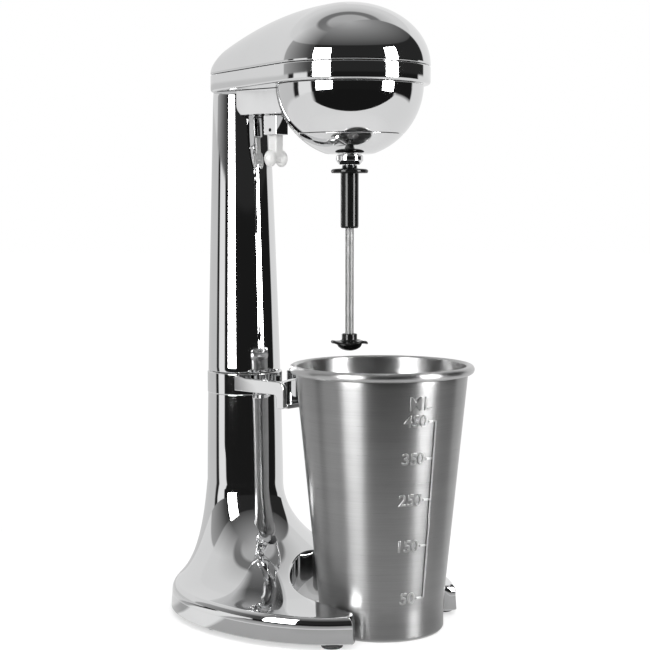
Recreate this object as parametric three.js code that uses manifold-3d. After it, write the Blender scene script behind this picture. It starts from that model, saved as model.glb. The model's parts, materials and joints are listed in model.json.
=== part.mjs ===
// A chrome drink mixer: a tapered column on a horseshoe base carries a motor head, and a whisk hangs from the
// head over a steel cup. Millimetres, +Z up; the mixer faces -Y, and the origin is on the table under its middle.
import * as THREE from 'three';
import { mergeVertices } from 'three/addons/utils/BufferGeometryUtils.js';
import Module from 'manifold-3d';

const wasm = await Module();
wasm.setup();

// ---- driving dimensions ---------------------------------------------------------------------------------
const GAP = 0.3;                 // clearance between pieces that touch
const EPS = 0.01;

const SPINDLE_FORWARD = 77;      // whisk axis ahead of the column axis
const CUP_FORWARD = 99;          // cup axis ahead of the column axis, cup standing on the table
const CUP_HEIGHT = 138;
const CUP_BASE_R = 32.6;
const CUP_TOP_R = 44.6;
const CUP_WALL = 0.8;
const CUP_RIM_R = 48;            // outside of the rolled rim
const CUP_BEAD_R = 2.3;          // radius of the roll
const CUP_FLOOR = 5;             // the bottom is stepped up inside a foot ring
const CUP_FOOT = 1.4;
const CUP_CONE_BOTTOM = 14;      // straight below this height, conical above

const BASE_FORWARD = 51;         // middle of the base ahead of the column axis
const BASE_HALF_LENGTH = 78;
const BASE_HALF_WIDTH = 71;
const BASE_SQUARENESS = 2.2;     // superellipse exponent of the outline at the table
const BASE_BOTTOM = 2.5;
const BASE_BAND_TOP = 10;        // upright band round the foot of the base
const BASE_EDGE_TOP = 16;        // height of the bell where it meets the outline
const BASE_WALL = 2.5;
const FLARE_TOP = 66;            // the bell runs into the column here
const FLARE_POWER = 0.55;
const BACK_POWER = 0.36;         // how soon the back of the bell reaches the outline
const RECESS_HALF_WIDTH = 35.5;  // the horseshoe's gap, which the cup stands in
const RECESS_CENTRE = 82.5;      // centre of the round end of the gap, ahead of the column axis
const PRONG_FRONT = 116.5;       // the prongs end here, ahead of the column axis
const PRONG_TIP_R = 9;           // rounding of each prong's inner front corner

const BELL_LEVELS = [0.955, 0.82, 0.62, 0.44, 0.29, 0.17, 0.08, 0.025];    // shares of the spread, going up
const SHOULDER_SPREAD = 0.99;    // rounding between the bell and the upright band
const SHOULDER_HEIGHT = 3.6;

const COLUMN_BASE_R = 21.3;
const COLUMN_TOP_R = 15.7;
const COLUMN_LEAN = 2;           // backward drift of the column's centre at its top
const COLUMN_TAPER_POWER = 1.3;
const COLUMN_WALL = 1.8;
const COLUMN_TAPER_TOP = 272;
const COLLAR_BOTTOM = 115.8;
const COLLAR_TOP = 127.6;
const COLLAR_PROUD = 0.5;
const COLLAR_BORE_R = 16.5;

const ARM_HALF_SPAN = 22.2;      // outside of the cup rest's two arms
const ARM_THICKNESS = 2.6;
const ARM_BOTTOM = 117.2;
const ARM_TOP = 126.4;
const ARM_BACK = 6;
const WEB_LENGTH = 4;            // short webs join the arms to the collar
const REST_FRONT = 50.2;
const REST_BACK = 38;
const REST_BOTTOM = 112;
const REST_LEDGE_TOP = 114.4;
const REST_LEDGE_FRONT = 51;
const REST_R = 34.6;             // hollow of the cup rest, about the whisk axis
const REST_WALL = 3;

const HEAD_BOTTOM = 282;         // underside of the head's band
const HEAD_SEAM = 291.2;         // cover meets band
const HEAD_TOP = 324.4;
const HEAD_FRONT_R = 42.1;
const HEAD_BACK_R = 18.4;
const HEAD_WALL = 2;
const HEAD_FLOOR = 2;
const RIDGE_R = 195;             // radius of the ridge line running back from the whisk axis
const MOTOR_HOLE_R = 35.2;       // opening in the head's floor over the dome
const DOME_R = 38.5;
const DOME_CENTRE = 283;
const DOME_WALL = 1.8;
const DOME_SPLIT = 256.7;        // joint between dome and bottom cap
const DOME_FLAT = 246.5;
const DOME_BORE_R = 4.2;

const NECK_HALF_WIDTH = 14;
const NECK_BOTTOM = 268.7;
const NECK_FRONT = 37.6;
const NECK_BACK = 8;
const NECK_WALL = 1.8;
const NECK_CORNER = 3;
const NECK_HOLLOW_BACK = 19;
const SWITCH_FORWARD = 24.3;     // switch lever ahead of the column axis
const SWITCH_SIDE = 9.4;
const SWITCH_BOTTOM = 257.9;
const SWITCH_WALL = 0.9;
const SWITCH_SLOT_HALF_WIDTH = 3.6;
const LEVER_SIDE = 6;
const LEVER_ARM_HALF = 1.6;      // half the depth of the arm above the stem
const LEVER_STEM_TOP = 263;
const LEVER_PIVOT = 260.5;
const LEVER_TOP = 275;
const LEVER_BALL_HEIGHT = 245.3;
const LEVER_BALL_SPREAD = 5.1;
const LEVER_BALL_R = 3.4;
const LEVER_BALL_TALLNESS = 1.35;
const LEVER_BRIDGE_HALF = [2.2, 2];
const LEVER_PIN_R = 1;
const SNAP_HALF_WIDTH = 6;
const SNAP_BOTTOM = 270.9;
const SNAP_TOP = 281;
const SNAP_BACK = 4.3;           // back of the snap switch ahead of the lever
const PLUNGER_HEIGHT = 272.5;
const PLUNGER_R = 1.2;
const PLUNGER_LENGTH = 4.2;

const SHAFT_R = 3;
const BORE_R = SHAFT_R + GAP;
const SHAFT_BOTTOM = 229.5;
const SHAFT_TOP = 311.5;
const DRIVE_COLLAR_R = 7.1;
const DRIVE_COLLAR_BOTTOM = 240.9;
const DRIVE_COLLAR_TOP = 246.1;
const SLEEVE_TOP = 240.6;
const SLEEVE_BOTTOM = 207.9;
const SLEEVE_R = 4.7;
const FLANGE_R = 9.7;
const FLANGE_BOTTOM = 236.4;
const SLEEVE_WEB_BOTTOM = 225.4; // the sleeve is solid between the whisk rod and the motor shaft
const SLEEVE_WEB_TOP = 229.1;
const ROD_R = 2.2;
const ROD_BOTTOM = 147;
const ROD_TOP = 225.1;
const AGITATOR_TOP = 152.6;
const AGITATOR_BOTTOM = 143.5;
const AGITATOR_R = 9.9;
const WAVE_BOTTOM = 147.2;
const WAVE_TOP = 148.7;
const WAVE_LIFT = 0.7;
const WAVES = 3;

const STATOR_BOTTOM = 267.5;
const STATOR_TOP = 291;
const STATOR_HALF = [25, 22];
const STATOR_SQUARENESS = 4;
const AIR_GAP = 0.6;
const COIL_WINDOW = [20.6, 8.6]; // half sizes of the stator's coil windows
const COIL_OVERHANG = 2;
const CARRIER_R = 37.6;
const CARRIER_TOP = 286.2;
const ROTOR_R = 15.2;
const ROTOR_SLOT_DEPTH = 5;
const ROTOR_TEETH = 10;
const COMMUTATOR_R = 7;
const COMMUTATOR_BOTTOM = 294;
const COMMUTATOR_TOP = 302;
const FAN_R = 20;
const FAN_HUB_R = 9;
const FAN_BOTTOM = 260.6;
const FAN_TOP = 264.4;
const FAN_BLADES = 9;
const LOWER_BEARING = { r: 8, bottom: 248.8, top: 254.6 };
const UPPER_BEARING = { r: 7, bottom: 306, top: 310.6 };
const LOWER_BRACKET = { bottom: 249.2, cupR: 10.3, flangeR: 23, flangeBottom: 257.5, flangeTop: 259.3 };
const BRIDGE = { halfLength: 23.5, halfWidth: 6, legThickness: 1.8, bottom: 304, top: 305.7 };
const BRIDGE_CUP_R = 9.3;
const BRIDGE_HOLE_R = 4.2;
const BRUSH = { near: 7.4, far: 16, halfWidth: 2.2, bottom: 296, top: 300 };
const HOLDER = { near: 9, far: 19, halfWidth: 3.6, bottom: 294.6, top: 301.4, wall: 1.1 };

const TIE_ROD_R = 3;
const TIE_ROD_TOP = 289;
const NUT_R = 5.6;
const LOWER_NUT = [12.8, 17.8];
const UPPER_NUT_TOP = 288.6;
const LOOM_BEHIND = 10.5;        // wiring loom behind the column axis
const LOOM_R = 1.9;
const LOOM_HOLE_R = 2.4;
const BALLAST_TOP = 12.5;
const BALLAST_HALF = [38, 34];
const BALLAST_FORWARD = 14;
const BALLAST_SQUARENESS = 2.4;
const SCREW_SPOTS = [[-48, 12], [48, 12], [-52, 78], [52, 78]];    // sideways, and ahead of the column axis
const BOSS_R = 3.6;
const PILOT_R = 1.6;
const PILOT_TOP = 11;
const GLAND_HOLE_R = 3.2;
const GLAND_HEIGHT = 8;
const GLAND_PROUD = 1.5;
const FOOT_HEIGHT = 2.2;
const FOOT_R = 5.5;
const PLATE_BOTTOM = 3;
const PLATE_TOP = 4.6;

const SEGMENTS = 32;             // sides of the large round pieces
const SMALL_SEGMENTS = 16;

const baseBack = BASE_HALF_LENGTH - BASE_FORWARD;
const rearReach = baseBack + GLAND_PROUD + GAP;
const COLUMN_Y = (CUP_FORWARD + CUP_RIM_R - rearReach) / 2;
const SPINDLE_Y = COLUMN_Y - SPINDLE_FORWARD;
const CUP_Y = COLUMN_Y - CUP_FORWARD;

// ---- finishes -------------------------------------------------------------------------------------------
const finish = (color, roughness, metalness) =>
  () => new THREE.MeshStandardMaterial({ color, roughness, metalness });

const chrome = finish(0xe6e6ea, 0.05, 1);
const brushedSteel = finish(0xb9b9bc, 0.32, 1);
const plainSteel = finish(0x9c9ca0, 0.4, 1);
const blackPlastic = finish(0x141415, 0.22, 0);
const whitePlastic = finish(0xf2f2f0, 0.35, 0);
const greyPlastic = finish(0x55585c, 0.5, 0);
const rubber = finish(0x1b1b1c, 0.8, 0);
const copper = finish(0xb5713c, 0.35, 1);
const brass = finish(0xc9a658, 0.3, 1);
const carbon = finish(0x2a2a2c, 0.7, 0);
const castIron = finish(0x4a4a4c, 0.75, 0.6);
const electricalSteel = finish(0x6f7378, 0.45, 0.9);

// ---- geometry helpers -----------------------------------------------------------------------------------
const mixer = new THREE.Group();

function add(name, geometry, material, position = [0, 0, 0]) {
  const mesh = new THREE.Mesh(geometry, material());
  mesh.name = name;
  mesh.position.set(...position);
  mixer.add(mesh);
}

// a closed mesh as a solid that can be joined and cut
function solid(geometry) {
  const plain = geometry.clone();
  for (const attribute of Object.keys(plain.attributes)) {
    if (attribute !== 'position') plain.deleteAttribute(attribute);
  }
  const merged = mergeVertices(plain, 1e-4);
  const corners = merged.index.array;
  const triVerts = [];
  for (let i = 0; i < corners.length; i += 3) {
    const [a, b, c] = corners.slice(i, i + 3);
    const folded = a === b || b === c || c === a;
    if (!folded) triVerts.push(a, b, c);
  }
  return new wasm.Manifold(new wasm.Mesh({
    numProp: 3,
    vertProperties: new Float32Array(merged.attributes.position.array),
    triVerts: new Uint32Array(triVerts),
  }));
}

function geometryOf(manifold) {
  const mesh = manifold.getMesh();
  const geometry = new THREE.BufferGeometry();
  geometry.setAttribute('position', new THREE.BufferAttribute(new Float32Array(mesh.vertProperties), 3));
  geometry.setIndex(new THREE.BufferAttribute(new Uint32Array(mesh.triVerts), 1));
  geometry.computeVertexNormals();
  return geometry;
}

// profile points are [radius, height]; the solid turns about +Z
function lathe(profile, segments = SMALL_SEGMENTS) {
  const geometry = new THREE.LatheGeometry(profile.map(([r, z]) => new THREE.Vector2(r, z)), segments);
  return geometry.rotateX(Math.PI / 2);
}

// a lathe whose profile closes on itself, for rings and tubes
const turnedRing = (profile, segments) => lathe([...profile, profile[0]], segments);

const disc = (r, bottom, top, segments) => lathe([[0, bottom], [r, bottom], [r, top], [0, top]], segments);

const tube = (inner, outer, bottom, top, segments) =>
  turnedRing([[inner, bottom], [outer, bottom], [outer, top], [inner, top]], segments);

// a box given by its lowest and highest corners
function box(low, high) {
  const [x, y, z] = high.map((value, i) => value - low[i]);
  const middle = high.map((value, i) => (value + low[i]) / 2);
  return new THREE.BoxGeometry(x, y, z).translate(...middle);
}

// an upright prism over an outline of [x, y] points, with optional holes
function prism(outline, bottom, top, holes = []) {
  const shape = new THREE.Shape(outline.map(([x, y]) => new THREE.Vector2(x, y)));
  for (const hole of holes) shape.holes.push(new THREE.Path(hole.map(([x, y]) => new THREE.Vector2(x, y))));
  const geometry = new THREE.ExtrudeGeometry(shape, { depth: top - bottom, bevelEnabled: false });
  return geometry.translate(0, 0, bottom);
}

// stacked rings of equal point counts, skinned and capped flat at both ends; a ring folded onto itself, such
// as a ridge line, closes the skin without a cap
function loft(rings, { cappedTop = true } = {}) {
  const count = rings[0].length;
  const positions = rings.flat();
  const index = [];
  for (let k = 0; k + 1 < rings.length; k += 1) {
    for (let i = 0; i < count; i += 1) {
      const a = k * count + i;
      const b = k * count + (i + 1) % count;
      index.push(a, b, b + count, a, b + count, a + count);
    }
  }
  const caps = cappedTop ? [[0, true], [rings.length - 1, false]] : [[0, true]];
  for (const [ring, flip] of caps) {
    const centre = new THREE.Vector3();
    for (const p of rings[ring]) centre.addScaledVector(new THREE.Vector3(...p), 1 / count);
    positions.push(centre.toArray());
    const hub = positions.length - 1;
    for (let i = 0; i < count; i += 1) {
      const a = ring * count + i;
      const b = ring * count + (i + 1) % count;
      if (flip) index.push(hub, b, a);
      else index.push(hub, a, b);
    }
  }
  const geometry = new THREE.BufferGeometry();
  geometry.setAttribute('position', new THREE.Float32BufferAttribute(positions.flat(), 3));
  geometry.setIndex(index);
  geometry.computeVertexNormals();
  return geometry;
}

const signedPower = (value, power) => Math.sign(value) * Math.abs(value) ** power;

// points on a superellipse, anticlockwise seen from above
function superellipse(centreY, halfX, halfY, exponent, segments = SEGMENTS) {
  return Array.from({ length: segments }, (_, i) => {
    const angle = (2 * Math.PI * i) / segments;
    const x = halfX * signedPower(Math.cos(angle), 2 / exponent);
    const y = halfY * signedPower(Math.sin(angle), 2 / exponent);
    return [x, centreY + y];
  });
}

const circle = (x, y, r, segments = SMALL_SEGMENTS) =>
  superellipse(y, r, r, 2, segments).map(([px, py]) => [px + x, py]);

const rectangle = (x0, y0, x1, y1) => [[x0, y0], [x1, y0], [x1, y1], [x0, y1]];

// ---- column and base ------------------------------------------------------------------------------------
// radius and backward drift of the column at a height
function columnAt(z) {
  const u = Math.max(0, (z - FLARE_TOP) / (COLUMN_TAPER_TOP - FLARE_TOP)) ** COLUMN_TAPER_POWER;
  return { r: COLUMN_BASE_R + (COLUMN_TOP_R - COLUMN_BASE_R) * u, y: COLUMN_Y + COLUMN_LEAN * u };
}

function columnRing(z, inset = 0) {
  const { r, y } = columnAt(z);
  return superellipse(y, r - inset, r - inset, 2).map(([px, py]) => [px, py, z]);
}

// outline of the bell when it has spread by the share g of the way from column to table
function bellRing(g, z, inset = 0) {
  const spread = BASE_HALF_LENGTH - COLUMN_BASE_R;
  const back = COLUMN_BASE_R + (baseBack - COLUMN_BASE_R) * g ** BACK_POWER;
  const halfLength = COLUMN_BASE_R + spread * g;
  const halfWidth = COLUMN_BASE_R + (BASE_HALF_WIDTH - COLUMN_BASE_R) * g;
  const centreY = COLUMN_Y + back - halfLength;
  const exponent = 2 + (BASE_SQUARENESS - 2) * g;
  return superellipse(centreY, halfWidth - inset, halfLength - inset, exponent).map(([x, y]) => [x, y, z]);
}

function bellHeight(g) {
  return BASE_EDGE_TOP + (FLARE_TOP - BASE_EDGE_TOP) * (1 - g ** FLARE_POWER) ** (1 / FLARE_POWER);
}

// the whole outside of base and lower column, or its inside when inset
function bellSolid(bottom, top, inset, drop) {
  const rings = [bellRing(1, bottom, inset), bellRing(1, BASE_BAND_TOP - drop, inset)];
  rings.push(bellRing(SHOULDER_SPREAD, BASE_BAND_TOP + SHOULDER_HEIGHT - drop, inset));
  for (const g of BELL_LEVELS) rings.push(bellRing(g, bellHeight(g) - drop, inset));
  rings.push(columnRing(FLARE_TOP, inset), columnRing(top, inset));
  return solid(loft(rings));
}

// the horseshoe's gap as a prism: a round-ended slot that widens past the rounded prong tips
function recess(bottom, top, grow) {
  const r = RECESS_HALF_WIDTH + grow;
  const centreY = COLUMN_Y - RECESS_CENTRE;
  const frontY = COLUMN_Y - PRONG_FRONT + grow;
  const tipR = PRONG_TIP_R - grow;
  const arc = (x, y, radius, from, to, steps) => Array.from({ length: steps + 1 }, (_, i) => {
    const angle = THREE.MathUtils.degToRad(from + ((to - from) * i) / steps);
    return [x + radius * Math.cos(angle), y + radius * Math.sin(angle)];
  });
  const tipX = r + tipR;
  const tipY = frontY + tipR;
  const outline = [
    [-BASE_HALF_LENGTH, frontY - BASE_HALF_LENGTH], [BASE_HALF_LENGTH, frontY - BASE_HALF_LENGTH],
    [BASE_HALF_LENGTH, frontY], ...arc(tipX, tipY, tipR, 270, 180, 4),
    ...arc(0, centreY, r, 0, 180, SEGMENTS / 2),
    ...arc(-tipX, tipY, tipR, 0, -90, 4), [-BASE_HALF_LENGTH, frontY],
  ];
  return solid(prism(outline, bottom, top));
}

function buildBase() {
  const outside = bellSolid(BASE_BOTTOM, COLLAR_BOTTOM - GAP, 0, 0);
  const inside = bellSolid(BASE_BOTTOM - 1, COLLAR_BOTTOM + 1, BASE_WALL, BASE_WALL);
  const hollow = inside.subtract(recess(0, FLARE_TOP, BASE_WALL));
  let shell = outside.subtract(recess(0, FLARE_TOP, 0)).subtract(hollow);
  for (const [x, forward] of SCREW_SPOTS) {
    const post = solid(disc(BOSS_R, PLATE_TOP + GAP, FLARE_TOP, 8).translate(x, COLUMN_Y - forward, 0));
    const boss = post.intersect(outside);
    const pilot = solid(disc(PILOT_R, PLATE_TOP, PILOT_TOP, 8).translate(x, COLUMN_Y - forward, 0));
    shell = shell.add(boss).subtract(pilot);
  }
  const glandHole = solid(disc(GLAND_HOLE_R, -BASE_EDGE_TOP, BASE_EDGE_TOP, 12).rotateX(Math.PI / 2)
    .translate(0, COLUMN_Y + baseBack, GLAND_HEIGHT));
  add('base_shell', geometryOf(shell.subtract(glandHole)), chrome);

  const plateOutline = bellRing(1, 0, BASE_WALL + GAP).map(([x, y]) => [x, y]);
  let plate = solid(prism(plateOutline, PLATE_BOTTOM, PLATE_TOP));
  plate = plate.subtract(recess(0, FLARE_TOP, BASE_WALL + GAP));
  for (const [x, forward] of SCREW_SPOTS) {
    plate = plate.subtract(solid(disc(PILOT_R, 0, PILOT_TOP, 8).translate(x, COLUMN_Y - forward, 0)));
  }
  add('base_plate', geometryOf(plate), plainSteel);

  for (const [i, [x, forward]] of SCREW_SPOTS.entries()) {
    const profile = [[0, 1.5], [1.8, 1.5], [2.8, 2], [2.8, 2.7], [1.3, 2.7], [1.3, 9.5], [0, 10.4]];
    add(`base_screw_${i + 1}`, lathe(profile, 12), plainSteel, [x, COLUMN_Y - forward, 0]);
  }
}

function buildBallast() {
  const outline = superellipse(COLUMN_Y - BALLAST_FORWARD, ...BALLAST_HALF, BALLAST_SQUARENESS);
  let block = solid(prism(outline, PLATE_TOP + GAP, BALLAST_TOP));
  block = block.subtract(recess(0, FLARE_TOP, BASE_WALL + 1));
  const rodHole = solid(disc(TIE_ROD_R + GAP, 0, FLARE_TOP, 12).translate(0, COLUMN_Y, 0));
  add('ballast_weight', geometryOf(block.subtract(rodHole)), castIron);
}

function buildFeet() {
  const spots = {
    foot_front_left: [-46, 105],
    foot_front_right: [46, 105],
    foot_middle_left: [-60, 38],
    foot_middle_right: [60, 38],
    foot_rear: [0, -17],
  };
  const profile = [[0, 0], [FOOT_R - 0.6, 0], [FOOT_R, 0.6], [FOOT_R, FOOT_HEIGHT], [3, FOOT_HEIGHT],
    [3, PLATE_BOTTOM - GAP], [0, PLATE_BOTTOM - GAP]];
  for (const [name, [x, forward]] of Object.entries(spots)) {
    add(name, lathe(profile), rubber, [x, COLUMN_Y - forward, 0]);
  }
}

function buildGland() {
  const profile = [[1.6, -4.8], [2.9, -4.8], [2.9, GAP], [4.1, GAP], [4.1, 1.2], [3.4, 1.8], [1.6, 1.8]];
  add('cable_gland', turnedRing(profile).rotateX(-Math.PI / 2), blackPlastic,
    [0, COLUMN_Y + baseBack, GLAND_HEIGHT]);
}

function hexNut(bottom, top) {
  return prism(circle(0, 0, NUT_R, 6), bottom, top, [circle(0, 0, TIE_ROD_R + GAP, 12)]);
}

function buildColumn() {
  const bottom = COLLAR_TOP + GAP;
  const top = HEAD_BOTTOM - GAP;
  const heights = [0, 0.33, 0.67, 1].map((share) => bottom + (top - bottom) * share);
  const outside = solid(loft(heights.map((z) => columnRing(z))));
  heights[0] -= 1;
  heights[heights.length - 1] += 1;
  const inside = solid(loft(heights.map((z) => columnRing(z, COLUMN_WALL))));
  add('upper_column', geometryOf(outside.subtract(inside)), chrome);

  const place = [0, COLUMN_Y, 0];
  add('tie_rod', disc(TIE_ROD_R, PLATE_TOP + GAP, TIE_ROD_TOP, 12), plainSteel, place);
  add('tie_rod_nut_lower', hexNut(...LOWER_NUT), plainSteel, place);
  add('tie_rod_nut_upper', hexNut(HEAD_BOTTOM + HEAD_FLOOR + GAP, UPPER_NUT_TOP), plainSteel, place);

  // the loom rises from the cable's entry behind the ballast and runs up the column beside the tie rod
  const route = new THREE.CatmullRomCurve3([
    new THREE.Vector3(0, COLUMN_Y + LOOM_BEHIND * 2, 16),
    new THREE.Vector3(0, COLUMN_Y + LOOM_BEHIND * 1.43, 17.5),
    new THREE.Vector3(0, COLUMN_Y + LOOM_BEHIND, 30),
    new THREE.Vector3(0, COLUMN_Y + LOOM_BEHIND, 150),
    new THREE.Vector3(0, COLUMN_Y + LOOM_BEHIND, 288),
  ]);
  const section = new THREE.Shape(circle(0, 0, LOOM_R, 8).map(([x, y]) => new THREE.Vector2(x, y)));
  add('wiring_loom', new THREE.ExtrudeGeometry(section, { steps: 16, extrudePath: route }), rubber);
}

function buildCupRest() {
  const y = (forward) => COLUMN_Y - forward;
  const lower = columnAt(COLLAR_BOTTOM).r + COLLAR_PROUD;
  let rest = solid(tube(COLLAR_BORE_R, lower, COLLAR_BOTTOM, COLLAR_TOP, SEGMENTS).translate(0, COLUMN_Y, 0));
  for (const side of [-1, 1]) {
    const xs = [side * ARM_HALF_SPAN, side * (ARM_HALF_SPAN - ARM_THICKNESS)].sort((a, b) => a - b);
    rest = rest.add(solid(box([xs[0], y(REST_FRONT), ARM_BOTTOM], [xs[1], y(ARM_BACK), ARM_TOP])));
    const web = [xs[0], xs[1], side * COLLAR_BORE_R].sort((a, b) => a - b);
    rest = rest.add(solid(box([web[0], y(ARM_BACK + WEB_LENGTH), ARM_BOTTOM],
      [web[2], y(ARM_BACK), ARM_TOP])));
  }
  const centre = [0, SPINDLE_Y, 0];
  const block = solid(box([-ARM_HALF_SPAN, y(REST_FRONT), REST_BOTTOM],
    [ARM_HALF_SPAN, y(REST_BACK), ARM_TOP]));
  const hollow = solid(disc(REST_R, 0, COLUMN_TAPER_TOP, 48).translate(...centre));
  const back = solid(disc(REST_R + REST_WALL, 0, COLUMN_TAPER_TOP, 48).translate(...centre));
  const wall = block.intersect(back).subtract(hollow);
  const ledgeBox = solid(box([-ARM_HALF_SPAN, y(REST_LEDGE_FRONT), REST_BOTTOM],
    [ARM_HALF_SPAN, y(REST_BACK), REST_LEDGE_TOP]));
  rest = rest.add(wall).add(ledgeBox.intersect(back));
  add('cup_rest', geometryOf(rest), chrome);
}

// ---- head -----------------------------------------------------------------------------------------------
// plan of the head: a large round about the whisk axis and a small one about the column, joined by tangents.
// Each entry holds an outline point and the point of the head's centre line that it shrinks towards.
function headPlan(inset = 0, segments = SEGMENTS) {
  const front = HEAD_FRONT_R - inset;
  const back = HEAD_BACK_R - inset;
  const lean = Math.asin((front - back) / SPINDLE_FORWARD);
  const points = [];
  const frontSteps = Math.round(segments * 0.5);
  const backSteps = Math.round(segments * 0.25);
  const sideSteps = 5;
  const frontHalf = Math.PI / 2 + lean;
  for (let i = 0; i <= frontSteps; i += 1) {
    const angle = -Math.PI / 2 - frontHalf + (2 * frontHalf * i) / frontSteps;
    points.push({
      at: [front * Math.cos(angle), SPINDLE_Y + front * Math.sin(angle)],
      foot: [0, SPINDLE_Y],
    });
  }
  const right = points[points.length - 1];
  const backHalf = Math.PI / 2 - lean;
  const rear = [];
  for (let i = 0; i <= backSteps; i += 1) {
    const angle = Math.PI / 2 - backHalf + (2 * backHalf * i) / backSteps;
    rear.push({
      at: [back * Math.cos(angle), COLUMN_Y + back * Math.sin(angle)],
      foot: [0, COLUMN_Y],
    });
  }
  const between = (from, to) => Array.from({ length: sideSteps }, (_, i) => {
    const share = (i + 1) / (sideSteps + 1);
    const mix = (a, b) => a.map((value, k) => value + (b[k] - value) * share);
    return { at: mix(from.at, to.at), foot: mix(from.foot, to.foot) };
  });
  return [...points, ...between(right, rear[0]), ...rear, ...between(rear[rear.length - 1], points[0])];
}

// the ridge is level in front of the whisk axis and falls towards the column
function ridgeHeight(y) {
  const behind = Math.max(0, y - SPINDLE_Y);
  return HEAD_TOP - behind ** 2 / (2 * RIDGE_R);
}

// the domed upper half of the head; inset and lowered by the same amount for its inside
function headDome(inset, bottom) {
  const plan = headPlan(inset);
  const levels = [0, 14, 28, 42, 56, 68, 79, 90];
  const rings = [plan.map(({ at }) => [...at, bottom])];
  for (const degrees of levels) {
    const angle = THREE.MathUtils.degToRad(degrees);
    rings.push(plan.map(({ at, foot }) => {
      const x = foot[0] + (at[0] - foot[0]) * Math.cos(angle);
      const y = foot[1] + (at[1] - foot[1]) * Math.cos(angle);
      const height = ridgeHeight(y) - inset - HEAD_SEAM;
      return [x, y, HEAD_SEAM + height * Math.sin(angle)];
    }));
  }
  return solid(loft(rings, { cappedTop: false }));
}

function buildHead() {
  const outside = headDome(0, HEAD_SEAM - EPS);
  const inside = headDome(HEAD_WALL, HEAD_SEAM - 1);
  const trim = solid(box([-CUP_FORWARD, -CUP_FORWARD, HEAD_BOTTOM],
    [CUP_FORWARD, CUP_FORWARD, HEAD_SEAM + GAP]));
  add('head_cover', geometryOf(outside.subtract(inside).subtract(trim)), chrome);

  const plan = (inset) => headPlan(inset).map(({ at }) => at);
  let housing = solid(prism(plan(0), HEAD_BOTTOM, HEAD_SEAM));
  housing = housing.subtract(solid(prism(plan(HEAD_WALL), HEAD_BOTTOM + HEAD_FLOOR, HEAD_SEAM + 1)));
  const openings = [
    disc(MOTOR_HOLE_R, 0, HEAD_TOP, SEGMENTS).translate(0, SPINDLE_Y, 0),
    disc(TIE_ROD_R + GAP, 0, HEAD_TOP).translate(0, COLUMN_Y, 0),
    disc(LOOM_HOLE_R, 0, HEAD_TOP).translate(0, COLUMN_Y + LOOM_BEHIND, 0),
  ];
  for (const opening of openings) housing = housing.subtract(solid(opening));
  add('head_housing', geometryOf(housing), chrome);
}

// [radius, height] points of a sphere about the dome's centre, between two heights
function spherePoints(r, from, to, steps) {
  return Array.from({ length: steps + 1 }, (_, i) => {
    const low = Math.asin((from - DOME_CENTRE) / r);
    const high = Math.asin((to - DOME_CENTRE) / r);
    const angle = low + ((high - low) * i) / steps;
    return [r * Math.cos(angle), DOME_CENTRE + r * Math.sin(angle)];
  });
}

function buildDome() {
  const inner = DOME_R - DOME_WALL;
  const place = [0, SPINDLE_Y, 0];
  const top = HEAD_BOTTOM - GAP;
  const body = [...spherePoints(DOME_R, DOME_SPLIT + GAP / 2, top, 5),
    ...spherePoints(inner, DOME_SPLIT + GAP / 2, top, 4).reverse()];
  add('motor_dome', turnedRing(body, SEGMENTS), chrome, place);

  const joint = DOME_SPLIT - GAP / 2;
  const floor = DOME_FLAT + DOME_WALL;
  const cap = [[DOME_BORE_R, DOME_FLAT], ...spherePoints(DOME_R, DOME_FLAT, joint, 3),
    ...spherePoints(inner, floor, joint, 2).reverse(), [DOME_BORE_R, floor]];
  add('dome_cap', turnedRing(cap, SEGMENTS), chrome, place);
}

function buildNeck() {
  const y = (forward) => COLUMN_Y - forward;
  const steps = 4;
  // section across the block, rounded along its lower edges
  const section = [[NECK_HALF_WIDTH, HEAD_BOTTOM - GAP], [-NECK_HALF_WIDTH, HEAD_BOTTOM - GAP]];
  for (const side of [-1, 1]) {
    for (let i = 0; i <= steps; i += 1) {
      const turn = (Math.PI / 2) * (side < 0 ? i / steps : 1 - i / steps);
      const x = side * (NECK_HALF_WIDTH - NECK_CORNER + NECK_CORNER * Math.cos(turn));
      section.push([x, NECK_BOTTOM + NECK_CORNER - NECK_CORNER * Math.sin(turn)]);
    }
  }
  const bar = prism(section, 0, NECK_FRONT - NECK_BACK).rotateX(Math.PI / 2);
  const inner = NECK_HALF_WIDTH - NECK_WALL;
  const hollow = box([-inner, y(NECK_FRONT - NECK_WALL), NECK_BOTTOM + NECK_WALL],
    [inner, y(NECK_HOLLOW_BACK), HEAD_BOTTOM + 1]);
  const block = solid(bar.translate(0, y(NECK_BACK), 0)).subtract(solid(hollow));
  const column = solid(loft([NECK_BOTTOM - 1, HEAD_BOTTOM + 1].map((z) => columnRing(z, -GAP))));
  const leverHole = solid(box([-SWITCH_SLOT_HALF_WIDTH, y(SWITCH_FORWARD + 4), SWITCH_BOTTOM],
    [SWITCH_SLOT_HALF_WIDTH, y(SWITCH_FORWARD - LEVER_SIDE / 2), LEVER_TOP]));
  add('neck_block', geometryOf(block.subtract(column).subtract(leverHole)), chrome);
}

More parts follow.
